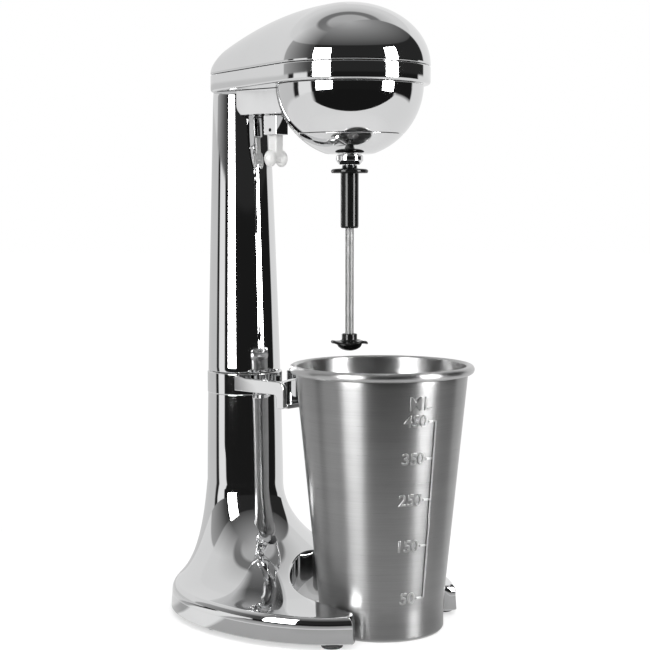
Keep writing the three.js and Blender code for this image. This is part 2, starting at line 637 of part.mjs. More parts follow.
function buildSwitch() {
  const place = [0, COLUMN_Y - SWITCH_FORWARD, 0];
  const half = SWITCH_SIDE / 2;
  const hollow = half - SWITCH_WALL;
  const bore = disc(LEVER_PIN_R + GAP, -SWITCH_SIDE, SWITCH_SIDE, 10).rotateY(Math.PI / 2);
  const pinHole = solid(bore.translate(0, 0, LEVER_PIVOT));
  const housing = solid(prism(rectangle(-half, -half, half, half), SWITCH_BOTTOM, NECK_BOTTOM - GAP,
    [rectangle(-hollow, -hollow, hollow, hollow)]));
  add('switch_housing', geometryOf(housing.subtract(pinHole)), chrome, place);
  const pin = disc(LEVER_PIN_R, -half, half, 10).rotateY(Math.PI / 2);
  add('lever_pin', pin, plainSteel, [0, place[1], LEVER_PIVOT]);

  // square stem, a thinner arm up to the plunger, and two egg-shaped tips side by side
  const stem = LEVER_SIDE / 2;
  let lever = solid(box([-stem, -stem, LEVER_BALL_HEIGHT], [stem, stem, LEVER_STEM_TOP]));
  lever = lever.add(solid(box([-stem, -LEVER_ARM_HALF, LEVER_STEM_TOP - 1],
    [stem, LEVER_ARM_HALF, LEVER_TOP])));
  for (const x of [-LEVER_BALL_SPREAD, LEVER_BALL_SPREAD]) {
    const ball = new THREE.SphereGeometry(LEVER_BALL_R, 12, 8).scale(1, 1, LEVER_BALL_TALLNESS);
    lever = lever.add(solid(ball.translate(x, 0, LEVER_BALL_HEIGHT)));
  }
  const [bridgeY, bridgeZ] = LEVER_BRIDGE_HALF;
  lever = lever.add(solid(box([-LEVER_BALL_SPREAD, -bridgeY, LEVER_BALL_HEIGHT - bridgeZ],
    [LEVER_BALL_SPREAD, bridgeY, LEVER_BALL_HEIGHT + bridgeZ])));
  add('cup_lever', geometryOf(lever.subtract(pinHole)), whitePlastic, place);

  // snap switch in front of the lever's arm, with a plunger pointing back at it
  const back = COLUMN_Y - SWITCH_FORWARD - SNAP_BACK;
  const front = COLUMN_Y - NECK_FRONT + NECK_WALL + GAP;
  const body = solid(box([-SNAP_HALF_WIDTH, front, SNAP_BOTTOM], [SNAP_HALF_WIDTH, back, SNAP_TOP]));
  const well = disc(PLUNGER_R + GAP, -1, back - front - GAP, 10).rotateX(Math.PI / 2);
  add('snap_switch', geometryOf(body.subtract(solid(well.translate(0, back, PLUNGER_HEIGHT)))), blackPlastic);
  add('switch_plunger', disc(PLUNGER_R, 0, PLUNGER_LENGTH, 10).rotateX(Math.PI / 2), whitePlastic,
    [0, COLUMN_Y - SWITCH_FORWARD - LEVER_ARM_HALF - GAP, PLUNGER_HEIGHT]);
}

// ---- motor ----------------------------------------------------------------------------------------------
function buildStator() {
  const place = [0, SPINDLE_Y, 0];
  const outline = superellipse(0, ...STATOR_HALF, STATOR_SQUARENESS);
  const bore = ROTOR_R + AIR_GAP;
  const [windowX, windowY] = COIL_WINDOW;
  // the bore and its two coil windows as one hole
  const windowAngle = Math.asin(windowY / bore);
  const hole = [];
  for (const side of [0, Math.PI]) {
    const sign = Math.cos(side);
    hole.push([sign * windowX, -sign * windowY], [sign * windowX, sign * windowY]);
    for (let i = 0; i <= 8; i += 1) {
      const angle = side + windowAngle + ((Math.PI - 2 * windowAngle) * i) / 8;
      hole.push([bore * Math.cos(angle), bore * Math.sin(angle)]);
    }
  }
  add('stator_core', prism(outline, STATOR_BOTTOM, STATOR_TOP, [hole]), electricalSteel, place);
  const coilHalf = windowY - GAP;
  for (const [name, side] of [['field_coil_left', -1], ['field_coil_right', 1]]) {
    const xs = [side * (bore + GAP), side * (windowX - GAP)].sort((a, b) => a - b);
    const coil = box([xs[0], -coilHalf, STATOR_BOTTOM - COIL_OVERHANG],
      [xs[1], coilHalf, STATOR_TOP + COIL_OVERHANG]);
    add(name, coil, copper, place);
  }
  const [halfX, halfY] = STATOR_HALF;
  const carrier = prism(circle(0, 0, CARRIER_R, SEGMENTS), HEAD_BOTTOM + HEAD_FLOOR + GAP, CARRIER_TOP,
    [superellipse(0, halfX + GAP, halfY + GAP, STATOR_SQUARENESS)]);
  add('motor_carrier', carrier, plainSteel, place);
}

function buildRotor() {
  const place = [0, SPINDLE_Y, 0];
  add('motor_shaft', disc(SHAFT_R, SHAFT_BOTTOM, SHAFT_TOP), plainSteel, place);
  // a round outline with one notch in every few points
  const notched = (notches, step, outer, inner) => Array.from({ length: notches * step }, (_, i) => {
    const angle = (2 * Math.PI * i) / (notches * step);
    const r = i % step === 0 ? inner : outer;
    return [r * Math.cos(angle), r * Math.sin(angle)];
  });
  const bore = circle(0, 0, BORE_R);
  const teeth = notched(ROTOR_TEETH, 4, ROTOR_R, ROTOR_R - ROTOR_SLOT_DEPTH);
  add('rotor_core', prism(teeth, STATOR_BOTTOM + 1, STATOR_TOP - 1, [bore]), electricalSteel, place);
  add('commutator', tube(BORE_R, COMMUTATOR_R, COMMUTATOR_BOTTOM, COMMUTATOR_TOP, 20), copper, place);
  const fan = notched(FAN_BLADES, 3, FAN_R, FAN_HUB_R);
  add('cooling_fan', prism(fan, FAN_BOTTOM, FAN_TOP, [bore]), greyPlastic, place);

  const low = DRIVE_COLLAR_BOTTOM;
  const high = DRIVE_COLLAR_TOP;
  const collar = [[BORE_R, low], [DRIVE_COLLAR_R - 1.5, low], [DRIVE_COLLAR_R - 0.7, low + 1.3],
    [DRIVE_COLLAR_R, low + 2.3], [DRIVE_COLLAR_R, high - 0.7], [DRIVE_COLLAR_R - 0.6, high], [BORE_R, high]];
  add('drive_collar', turnedRing(collar, 24), chrome, place);
}

function buildBearings() {
  const place = [0, SPINDLE_Y, 0];
  const bearing = ({ r, bottom, top }) => tube(BORE_R, r, bottom, top, 20);
  add('lower_bearing', bearing(LOWER_BEARING), plainSteel, place);
  add('upper_bearing', bearing(UPPER_BEARING), plainSteel, place);

  const { bottom, cupR, flangeR, flangeBottom, flangeTop } = LOWER_BRACKET;
  const inner = LOWER_BEARING.r + GAP;
  const bracket = [[inner, bottom], [cupR, bottom], [cupR, flangeBottom], [flangeR, flangeBottom],
    [flangeR, flangeTop], [inner, flangeTop]];
  add('lower_motor_bracket', turnedRing(bracket, 28), plainSteel, place);

  const length = BRIDGE.halfLength;
  const width = BRIDGE.halfWidth;
  let bridge = solid(box([-length, -width, BRIDGE.bottom], [length, width, BRIDGE.top]));
  for (const x of [-length, length - BRIDGE.legThickness]) {
    const leg = box([x, -width, STATOR_TOP + GAP], [x + BRIDGE.legThickness, width, BRIDGE.bottom + 1]);
    bridge = bridge.add(solid(leg));
  }
  bridge = bridge.add(solid(disc(BRIDGE_CUP_R, BRIDGE.bottom, UPPER_BEARING.top, 20)));
  bridge = bridge.subtract(solid(disc(UPPER_BEARING.r + GAP, BRIDGE.top, HEAD_TOP, 20)));
  bridge = bridge.subtract(solid(disc(BRIDGE_HOLE_R, BRIDGE.bottom - 1, HEAD_TOP)));
  add('upper_motor_bracket', geometryOf(bridge), plainSteel, place);
}

function buildBrushes() {
  const place = [0, SPINDLE_Y, 0];
  for (const [side, sign] of [['left', -1], ['right', 1]]) {
    const block = ({ near, far, halfWidth, bottom, top }, grow = 0) => {
      const [x0, x1] = [sign * (near - grow), sign * (far + grow)].sort((a, b) => a - b);
      return box([x0, -halfWidth - grow, bottom - grow], [x1, halfWidth + grow, top + grow]);
    };
    add(`brush_${side}`, block(BRUSH), carbon, place);
    const { near, far, halfWidth, bottom, top, wall } = HOLDER;
    // the well is open towards the commutator
    const well = block({
      near: near - 1, far: far - wall, halfWidth: halfWidth - wall, bottom: bottom + wall, top: top - wall,
    });
    const holder = solid(block({ near, far, halfWidth, bottom, top })).subtract(solid(well));
    add(`brush_holder_${side}`, geometryOf(holder), brass, place);
  }
}

function buildWhisk() {
  const place = [0, SPINDLE_Y, 0];
  const rodBore = ROD_R + GAP;
  const sleeve = [[0, SLEEVE_WEB_BOTTOM], [rodBore, SLEEVE_WEB_BOTTOM], [rodBore, SLEEVE_BOTTOM],
    [SLEEVE_R - 0.6, SLEEVE_BOTTOM], [SLEEVE_R, SLEEVE_BOTTOM + 0.9], [SLEEVE_R, FLANGE_BOTTOM],
    [FLANGE_R - 0.5, FLANGE_BOTTOM], [FLANGE_R, FLANGE_BOTTOM + 0.6], [FLANGE_R, FLANGE_BOTTOM + 1.6],
    [FLANGE_R - 0.8, FLANGE_BOTTOM + 2.2], [SLEEVE_R - 0.7, FLANGE_BOTTOM + 2.8], [SLEEVE_R - 0.8, SLEEVE_TOP],
    [BORE_R, SLEEVE_TOP], [BORE_R, SLEEVE_WEB_TOP], [0, SLEEVE_WEB_TOP]];
  add('whisk_sleeve', lathe(sleeve, 20), blackPlastic, place);
  add('whisk_rod', disc(ROD_R, ROD_BOTTOM, ROD_TOP, 12), brushedSteel, place);

  // hub above a wavy disc, domed underneath
  const socket = ROD_BOTTOM - GAP;
  const hub = [[0, AGITATOR_BOTTOM], [3.4, AGITATOR_BOTTOM + 0.5], [5.6, AGITATOR_BOTTOM + 1.8],
    [6.6, AGITATOR_BOTTOM + 3.7], [6.6, WAVE_TOP - GAP], [4, WAVE_TOP + 0.9], [4, AGITATOR_TOP],
    [rodBore, AGITATOR_TOP], [rodBore, socket], [0, socket]];
  const segments = 18;
  const wavy = (r, z) => Array.from({ length: segments }, (_, i) => {
    const angle = (2 * Math.PI * i) / segments;
    const lift = WAVE_LIFT * Math.sin(WAVES * angle) * (r / AGITATOR_R);
    return [r * Math.cos(angle), r * Math.sin(angle), z + lift];
  });
  const edge = AGITATOR_R - 0.4;
  const wave = solid(loft([wavy(4.5, WAVE_BOTTOM), wavy(edge, WAVE_BOTTOM),
    wavy(AGITATOR_R, (WAVE_BOTTOM + WAVE_TOP) / 2), wavy(edge, WAVE_TOP), wavy(4.5, WAVE_TOP)]));
  const bore = solid(disc(rodBore, socket, AGITATOR_TOP + 1, 16));
  const agitator = solid(lathe(hub, segments)).add(wave).subtract(bore);
  add('agitator', geometryOf(agitator), blackPlastic, place);
}

function buildCup() {
  // up the outside, round the rolled rim, down the inside
  const beadCentre = [CUP_RIM_R - CUP_BEAD_R, CUP_HEIGHT - CUP_BEAD_R];
  const neck = CUP_HEIGHT - 2 * CUP_BEAD_R;
  const underside = CUP_FLOOR - CUP_WALL;
  const profile = [[0, underside], [CUP_BASE_R - 4.4, underside], [CUP_BASE_R - 3.4, 0], [CUP_BASE_R - 1.2, 0],
    [CUP_BASE_R, CUP_FOOT], [CUP_BASE_R, CUP_CONE_BOTTOM], [CUP_TOP_R, neck + 0.2]];
  const beadSteps = 6;
  for (let i = 0; i <= beadSteps; i += 1) {
    const angle = THREE.MathUtils.degToRad(-110 + (250 * i) / beadSteps);
    const x = beadCentre[0] + CUP_BEAD_R * Math.cos(angle);
    profile.push([x, beadCentre[1] + CUP_BEAD_R * Math.sin(angle)]);
  }
  const inner = CUP_BASE_R - CUP_WALL;
  profile.push([CUP_TOP_R - CUP_WALL, neck], [inner, CUP_CONE_BOTTOM], [inner, CUP_FLOOR + 1]);
  profile.push([inner - 1, CUP_FLOOR], [0, CUP_FLOOR]);
  add('cup', lathe(profile, SEGMENTS), brushedSteel, [0, CUP_Y, 0]);
}

buildBase();
buildBallast();
buildFeet();
buildGland();
buildColumn();
buildCupRest();
buildHead();
buildDome();
buildNeck();
buildSwitch();
buildStator();
buildRotor();
buildBearings();
buildBrushes();
buildWhisk();
buildCup();

export default mixer;
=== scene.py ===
"""A chrome milkshake mixer, seen from its front left. Sizes are in millimetres until a mesh is made. +Z is up
and the mixer faces -Y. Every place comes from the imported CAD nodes."""
import json
import math
from collections import namedtuple

import bmesh
import bpy
import numpy as np
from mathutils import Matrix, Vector
from mathutils.geometry import delaunay_2d_cdt


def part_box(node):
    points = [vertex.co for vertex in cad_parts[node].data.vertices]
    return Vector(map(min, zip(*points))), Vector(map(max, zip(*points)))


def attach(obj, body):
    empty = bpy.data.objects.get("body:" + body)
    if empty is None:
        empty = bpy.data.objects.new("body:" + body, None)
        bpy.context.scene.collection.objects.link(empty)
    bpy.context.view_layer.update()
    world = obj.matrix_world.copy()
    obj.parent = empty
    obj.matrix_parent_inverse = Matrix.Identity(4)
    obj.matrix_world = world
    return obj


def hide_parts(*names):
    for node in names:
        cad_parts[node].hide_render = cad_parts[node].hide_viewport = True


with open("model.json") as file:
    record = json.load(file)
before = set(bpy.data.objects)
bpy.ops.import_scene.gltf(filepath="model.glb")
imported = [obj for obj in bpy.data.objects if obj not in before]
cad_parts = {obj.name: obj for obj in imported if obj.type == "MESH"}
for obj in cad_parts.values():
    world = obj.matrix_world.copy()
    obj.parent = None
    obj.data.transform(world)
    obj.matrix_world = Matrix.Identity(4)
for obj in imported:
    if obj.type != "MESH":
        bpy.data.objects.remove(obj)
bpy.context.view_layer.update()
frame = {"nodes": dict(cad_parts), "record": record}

M = 0.001


# ---- places, from the CAD nodes ----
def limits(node):
    """Lowest and highest corner of a CAD node, in millimetres."""
    low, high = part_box(node)
    return np.array(low) / M, np.array(high) / M


def middle(node):
    low, high = limits(node)
    return (low + high) / 2


def upright(node):
    """Bottom, top and half width of a CAD node that stands across the middle plane."""
    low, high = limits(node)
    return low[2], high[2], high[0]


COLUMN_Y = middle("tie_rod")[1]
SPINDLE_Y = middle("motor_shaft")[1]
CUP_Y = middle("cup")[1]
LEVER_Y = middle("switch_housing")[1]
BASE_LOW, BASE_HIGH = limits("base_shell")
COVER_LOW, COVER_HIGH = limits("head_cover")
CUP_HIGH = limits("cup")[1]

# ---- driving sizes ----
BASE_FORWARD = 51
BASE_HALF_LENGTH = 78
BASE_HALF_WIDTH = BASE_HIGH[0]
BASE_BACK = BASE_HALF_LENGTH - BASE_FORWARD
BASE_SQUARENESS = 2.2
BASE_BAND_TOP = 10
BASE_EDGE_TOP = 16
BASE_WALL = 2.3
EDGE_INSET = 3.5            # width of the rounding along the base's outside
SLOT_EDGE_INSET = 1.5       # and along the slot for the cup
BAND_DRAFT = 0.5
FLARE_TOP = 66
FLARE_POWER = 0.55
BACK_POWER = 0.36
FIRST_SPREAD = 0.2          # share of its spread at which the bell goes over from rings to a plan grid
RECESS_HALF_WIDTH = 35.5
RECESS_CENTRE = 82.5
PRONG_FRONT = 116.5
PRONG_TIP_R = 9

COLUMN_BASE_R = 21.3
COLUMN_TOP_R = 15.7
COLUMN_LEAN = 2
COLUMN_TAPER_POWER = 1.3
COLUMN_TAPER_TOP = 272
COLUMN_WALL = 1.8

REST_ARM_LOW = 119.2
REST_COLLAR_LOW = 115.8
REST_ARM_THICK = 2.6
REST_ARM_FRONT = COLUMN_Y - 50.2
REST_ARM_BACK = COLUMN_Y - 13.5
REST_WALL_BACK = COLUMN_Y - 38
REST_WALL_R = (34.6, 37.6)  # inside and outside, about the spindle
REST_LEDGE = 114.4
REST_BORE_R = 17
REST_CLEAR = (100, 140)     # heights below and above all of it

HEAD_FRONT_R = (COVER_HIGH[0] - COVER_LOW[0]) / 2
HEAD_BACK_R = COVER_HIGH[1] - COLUMN_Y
HEAD_TOP = COVER_HIGH[2]
HEAD_WALL = 2
RIDGE_R = 195
DOME_R = 38.5
DOME_CENTRE = 283
DOME_WALL = 1.8
MOTOR_HOLE_R = DOME_R - 3.3
NECK_REACH = 4.0            # how far the neck runs on into the dome
NECK_CORNER = 5.5
NECK_WALL = 1.8
NECK_HOLLOW_BACK = COLUMN_Y - 19
NECK_SLOT = (3.6, 4, 3)     # for the lever: half its width, and how far it goes ahead and behind
SWITCH_WALL = 0.9

LEVER_STEM = 2.85           # half its width; the next two are half depths
LEVER_TONGUE = 1.6
LEVER_BAR = 2.2
LEVER_SHOULDER = 262
LEVER_TIP_Z = 245.2
LEVER_TIP_R = 3.45
LEVER_TIP_STRETCH = 1.35
LEVER_SPREAD = 4.4

CUP_HEIGHT = CUP_HIGH[2]
CUP_RIM_R = CUP_HIGH[0]
CUP_BASE_R = 32.6
CUP_TOP_R = 44.6
CUP_CONE_BOTTOM = 14
CUP_BEAD_R = 2.3
CUP_FLOOR = 5
CUP_NECK = CUP_HEIGHT - 2 * CUP_BEAD_R
CUP_SHEET = 0.7
CUP_SLOPE = (CUP_TOP_R - CUP_BASE_R) / (CUP_NECK - CUP_CONE_BOTTOM)
SCALE_RAISED = 0.6
SCALE_FLOOR = 6.8
SCALE_ANGLE = math.radians(-90 - 12)
SCALE_MARKS = (50, 150, 250, 350, 450)
SCALE_LINE = 0.5            # half its width
SCALE_DASH = (4.2, 0.45)    # its reach from the line's middle, and half its height


# ---- mesh helpers ----
Look = namedtuple("Look", "material body slot")


def set_up(thing, **settings):
    for key, value in settings.items():
        setattr(thing, key, value)
    return thing


def place(name, data, **settings):
    """A new object in the scene."""
    thing = bpy.data.objects.new(name, data)
    bpy.context.scene.collection.objects.link(thing)
    return set_up(thing, **settings)


def smooth(mesh):
    mesh.polygons.foreach_set("use_smooth", [True] * len(mesh.polygons))


def evaluated(piece):
    """The piece's mesh with its modifiers applied."""
    graph = bpy.context.evaluated_depsgraph_get()
    return bpy.data.meshes.new_from_object(piece.evaluated_get(graph))


def make(name, node, shape, look, normals=None):
    """A smooth-shaded piece from vertices in millimetres and faces, which stands for a CAD node."""
    verts, faces = shape
    mesh = bpy.data.meshes.new(name)
    mesh.from_pydata(np.asarray(verts, float) * M, [], faces)
    mesh.validate()
    smooth(mesh)
    if normals is not None:
        mesh.normals_split_custom_set_from_vertices(normals)
    mesh.materials.append(look.material)
    piece = place(name, mesh)
    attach(piece, look.body)
    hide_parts(node)
    return piece


def weigh_normals(piece):
    """Flat faces stay flat beside small roundings."""
    set_up(piece.modifiers.new("weighted", "WEIGHTED_NORMAL"), weight=80)
    return piece


def full_turn(count):
    return np.linspace(0, 2 * math.pi, count, endpoint=False)


def unit(vectors):
    return vectors / np.maximum(np.linalg.norm(vectors, axis=1), 1e-9)[:, None]


def at_height(points, z):
    """Plan points lifted to a height, or each to its own."""
    return np.c_[points, np.broadcast_to(z, len(points))]


def circle(r, centre_y, angles):
    return np.c_[r * np.cos(angles), centre_y + r * np.sin(angles)]


def arc(x, y, r, start, end, steps):
    return circle(r, y, np.radians(np.linspace(start, end, steps + 1))) + [x, 0]


def shifted(loop):
    return loop[1:] + loop[:1]


def bridge(low, high):
    """Quads between two closed rows of vertex numbers."""
    return [(a, b, d, c) for a, b, c, d in zip(low, shifted(low), high, shifted(high))]


def skin(rings, close_stack=False):
    """Quads between stacked closed rings of equal length."""
    count = len(rings[0])
    rows = [list(range(k * count, (k + 1) * count)) for k in range(len(rings))]
    pairs = zip(rows, rows[1:] + (rows[:1] if close_stack else []))
    return [quad for low, high in pairs for quad in bridge(low, high)]


def turned_over(faces):
    return [tuple(reversed(f)) for f in faces]


def bend(start, corner, end, t):
    """The point at the share t of a curve from start to end that leans towards the corner."""
    return (1 - t) ** 2 * start + 2 * t * (1 - t) * corner + t ** 2 * end


def rounded(profile, radius, steps=4, closed=False):
    """The profile with each corner that turns by over 15 degrees replaced by an arc of about that radius. A
    point's own third value overrides the radius."""
    points = [np.array(p[:2], float) for p in profile]
    radii = [p[2] if len(p) > 2 else radius for p in profile]
    count = len(points)
    out = []
    for i in range(count):
        here = points[i]
        if not closed and i in (0, count - 1):
            out.append(here)
            continue
        before, after = points[i - 1] - here, points[(i + 1) % count] - here
        la, lb = np.linalg.norm(before), np.linalg.norm(after)
        a, b = before / la, after / lb
        turn = math.pi - math.acos(np.clip(a @ b, -1, 1))
        if turn < math.radians(15) or radii[i] <= 0:
            out.append(here)
            continue
        reach = min(radii[i] * math.tan(turn / 2), la * 0.45, lb * 0.45)
        start, end = here + a * reach, here + b * reach
        out += [bend(start, here, end, k / steps) for k in range(steps + 1)]
    return out


def turned(profile, axis, segments, closed, lift=None):
    """Vertices and faces of a profile of (radius, height) turned about an upright axis. Lift raises a point
    by its radius and angle. Points on the axis are one vertex."""
    x, y = axis
    verts, rows, faces = [], [], []
    for r, z in profile:
        if r < 1e-6:
            rows.append([len(verts)] * segments)
            verts.append((x, y, z))
            continue
        rows.append(list(range(len(verts), len(verts) + segments)))
        for a in full_turn(segments):
            raised = lift(r, a) if lift else 0.0
            verts.append((x + r * math.cos(a), y + r * math.sin(a), z + raised))
    for low, high in zip(rows, rows[1:] + (rows[:1] if closed else [])):
        for quad in bridge(low, high):
            face = [v for k, v in enumerate(quad) if v not in quad[:k]]
            if len(face) > 2:
                faces.append(face)
    return verts, faces


def lathe(name, node, profile, look, axis=(0.0, SPINDLE_Y), radius=0.4, closed=True, segments=160, steps=4,
          lift=None):
    """A turned piece with rounded corners. Profile points are (radius, height[, rounding])."""
    shape = turned(rounded(profile, radius, steps, closed), axis, segments, closed, lift)
    return weigh_normals(make(name, node, shape, look))


def prism(outline, bottom, top):
    """Vertices and faces of an upright prism over an outline of (x, y)."""
    n = len(outline)
    verts = [(x, y, bottom) for x, y in outline] + [(x, y, top) for x, y in outline]
    faces = [tuple(reversed(range(n))), tuple(range(n, 2 * n))]
    faces += bridge(list(range(n)), list(range(n, 2 * n)))
    return verts, faces


def sideways_prism(outline, x0, x1):
    """Vertices and faces of a prism across X over an outline of (y, z)."""
    verts, faces = prism(outline, x0, x1)
    return [(x, y, z) for y, z, x in verts], faces


def box(low, high):
    (x0, y0, z0), (x1, y1, z1) = low, high
    return prism([(x0, y0), (x1, y0), (x1, y1), (x0, y1)], z0, z1)


def cylinder(centre_y, radius, bottom, top, segments=192):
    return prism(circle(radius, centre_y, full_turn(segments)), bottom, top)


def loose(verts, faces):
    """A helper object for booleans."""
    mesh = bpy.data.meshes.new("tool")
    mesh.from_pydata(np.asarray(verts, float) * M, [], faces)
    return place("tool", mesh)


def carve(start, steps):
    """Joins, cuts or intersects closed meshes in turn. Returns vertices, in millimetres, and faces."""
    target = loose(*start)
    for operation, shape in steps:
        tool = loose(*shape)
        set_up(target.modifiers.new("cut", "BOOLEAN"), object=tool, operation=operation, solver="EXACT")
        result = evaluated(target)
        target.modifiers.clear()
        target.data = result
        bpy.data.objects.remove(tool)
    verts = np.array([v.co for v in target.data.vertices]) / M
    faces = [tuple(p.vertices) for p in target.data.polygons]
    bpy.data.objects.remove(target)
    return verts, faces


def soften(piece, width, segments=3, angle=30):
    """Rounds the sharp edges of a carved piece."""
    set_up(piece.modifiers.new("soft_edges", "BEVEL"), width=width * M, segments=segments,
           limit_method="ANGLE", angle_limit=math.radians(angle), use_clamp_overlap=True,
           miter_outer="MITER_ARC")
    return weigh_normals(piece)


# ---- materials ----
class Tree:
    """Short names for wiring the nodes of a material or of the world."""

    def __init__(self, tree):
        self.tree = tree

    def add(self, kind, values=(), **settings):
        node = set_up(self.tree.nodes.new("ShaderNode" + kind), **settings)
        for socket, value in values:
            if isinstance(value, bpy.types.NodeSocket):
                self.tree.links.new(value, node.inputs[socket])
            else:
                node.inputs[socket].default_value = value
        return node

    def math(self, operation, a, b=0.0):
        return self.add("Math", [(0, a), (1, b)], operation=operation).outputs[0]

    def ramp(self, value, low, high, out_low=0.0, out_high=1.0):
        values = [(0, value), (1, low), (2, high), (3, out_low), (4, out_high)]
        return self.add("MapRange", values).outputs[0]

    def levels(self, value, low, high, places):
        """A grey level for a value between low and high, through places of (value[, next value], level)."""
        stops = [((edge - low) / (high - low), level) for *edges, level in places for edge in edges]
        node = self.add("ValToRGB", [(0, self.ramp(value, low, high))])
        elements = node.color_ramp.elements
        while len(elements) < len(stops):
            elements.new(0.5)
        for element, (position, level) in zip(elements, stops):
            element.position = position
            element.color = (level, level, level, 1)
        return node.outputs[0]


class Nodes(Tree):
    """A material, with short names for its textures and its shader."""

    def __init__(self, name):
        self.material = bpy.data.materials.new(name)
        self.material.use_nodes = True
        super().__init__(self.material.node_tree)
        self.shader = self.tree.nodes["Principled BSDF"]
        self.coords = self.tree.nodes.new("ShaderNodeTexCoord").outputs["Object"]

    def noise(self, scale, detail=3.0, roughness=0.5, vector=None, stretch=None):
        source = vector or self.coords
        if stretch:
            source = self.add("Mapping", [("Vector", source), ("Scale", stretch)]).outputs[0]
        values = [("Vector", source), ("Scale", scale), ("Detail", detail), ("Roughness", roughness)]
        return self.add("TexNoise", values).outputs[0]

    def mix(self, factor, a, b):
        return self.add("Mix", [("Factor", factor), (6, a), (7, b)], data_type="RGBA").outputs[2]

    def bump(self, height, strength, distance):
        values = [("Strength", strength), ("Distance", distance), ("Height", height)]
        self.link(self.add("Bump", values).outputs[0], "Normal")

    def link(self, value, socket):
        self.tree.links.new(value, self.shader.inputs[socket])

    def set(self, **values):
        for key, value in values.items():
            self.shader.inputs[key.replace("_", " ")].default_value = value
        return self

    def emission(self, strength):
        return self.add("Emission", [("Color", (1, 1, 1, 1)), ("Strength", strength)]).outputs[0]

    def finish(self, tone, dark, light, texture, rough, strength, depth):
        """Colour by the tone, roughness and bump by the texture."""
        self.link(self.mix(tone, dark, light), "Base Color")
        self.link(self.ramp(texture, 0.3, 0.7, *rough), "Roughness")
        self.bump(texture, strength, depth)
        return self.material

    def output(self, surface):
        """Uses this surface in place of the shader's."""
        self.tree.links.new(surface, self.tree.nodes["Material Output"].inputs[0])
        return self.material


def grey(value):
    return (value, value, value, 1.0)


def chrome_plate():
    """Plated plastic and steel: a mirror with a trace of ripple and faint wipe marks."""
    n = Nodes("chrome_plate").set(Metallic=1.0)
    wipes = n.noise(60, 4, 0.6, stretch=(1, 1, 0.25))
    n.link(n.ramp(wipes, 0.35, 0.75, 0.025, 0.06), "Roughness")
    patches = n.noise(25, 2)
    dull, clear = (0.735, 0.738, 0.742, 1.0), (0.765, 0.767, 0.77, 1.0)
    n.link(n.mix(n.ramp(patches, 0.3, 0.7), dull, clear), "Base Color")
    n.bump(n.noise(38, 1, 0.4), 0.05, 0.0006)
    return n.material


def polished_share(n, centred):
    """1 on the cup's rolled rim and inside, which get a painted highlight in their colour, and 0 on its
    outside wall.
    """
    x, y, z = n.add("SeparateXYZ", [(0, centred)]).outputs
    radius = n.math("SQRT", n.math("ADD", n.math("MULTIPLY", x, x), n.math("MULTIPLY", y, y)))
    above = n.math("MAXIMUM", n.math("SUBTRACT", z, CUP_CONE_BOTTOM * M), 0.0)
    wall = n.math("ADD", n.math("MULTIPLY", above, CUP_SLOPE), CUP_BASE_R * M)
    inside = n.ramp(n.math("SUBTRACT", wall, radius), CUP_SHEET * M * 0.4, CUP_SHEET * M * 0.8)
    rim = n.ramp(z, (CUP_NECK - 0.5) * M, (CUP_NECK + 0.3) * M)
    return n.math("MAXIMUM", inside, rim)


def brushed_stainless(name, axis_y, dark, light, painted_brightness=None, drawn_out=0.85, rough=(0.27, 0.36)):
    """Stainless steel with fine lines round the turning axis, which draw reflections out up and down."""
    n = Nodes(name).set(Metallic=1.0, Anisotropic=drawn_out, Anisotropic_Rotation=0.25)
    axis = (0.0, axis_y * M, 0.0)
    centred = n.add("VectorMath", [(0, n.coords), (1, axis)], operation="SUBTRACT").outputs[0]
    lines = n.noise(1, 5, 0.7, vector=centred, stretch=(30, 30, 3400))
    smears = n.noise(1, 2, 0.5, vector=centred, stretch=(14, 14, 160))
    n.link(n.ramp(lines, 0.3, 0.7, *rough), "Roughness")
    tone = n.math("ADD", n.math("MULTIPLY", lines, 0.6), n.math("MULTIPLY", smears, 0.4))
    colour = n.mix(n.ramp(tone, 0.35, 0.65), dark, light)
    # painted highlight: the rim and the inside are painted a brighter grey
    if painted_brightness:
        colour = n.mix(polished_share(n, centred), colour, grey(painted_brightness))
    n.link(colour, "Base Color")
    n.bump(lines, 0.05, 0.00002)
    n.link(n.add("Tangent", direction_type="RADIAL", axis="Z").outputs[0], "Tangent")
    return n.material


def plain_steel():
    n = Nodes("plain_steel").set(Metallic=1.0)
    grain = n.noise(700, 5, 0.7)
    return n.finish(grain, grey(0.42), grey(0.6), grain, (0.28, 0.48), 0.1, 0.0001)


def moulded(name, dark, light, rough, grain_scale=900, coat=0.0, bump=0.04, gloss=0.5):
    """Injection-moulded plastic: faint colour drift, fine texture and a soft gloss."""
    n = Nodes(name).set(Specular_IOR_Level=gloss, Coat_Weight=coat, Coat_Roughness=0.08)
    grain = n.noise(grain_scale, 3, 0.6)
    return n.finish(n.noise(45, 3), dark, light, grain, (rough * 0.8, rough * 1.25), bump, 0.0001)


def cast(name, dark, light, rough, metallic=1.0, scale=350, bump=0.3):
    """A rough surface such as a casting or a pressed block."""
    n = Nodes(name).set(Metallic=metallic)
    grain = n.noise(scale, 6, 0.7)
    return n.finish(grain, dark, light, grain, (rough * 0.8, min(1, rough * 1.2)), bump, 0.0003)


def striped(name, dark, light, rough, pitch):
    """Stacked laminations or laid windings: fine ridges across the height."""
    n = Nodes(name).set(Metallic=1.0)
    values = [("Vector", n.coords), ("Scale", 1 / (pitch * M) / 20), ("Distortion", 0.2)]
    wave = n.add("TexWave", values, bands_direction="Z").outputs[0]
    n.link(n.mix(wave, dark, light), "Base Color")
    n.link(n.ramp(wave, 0, 1, rough * 1.2, rough * 0.8), "Roughness")
    n.bump(wave, 0.4, 0.0002)
    return n.material


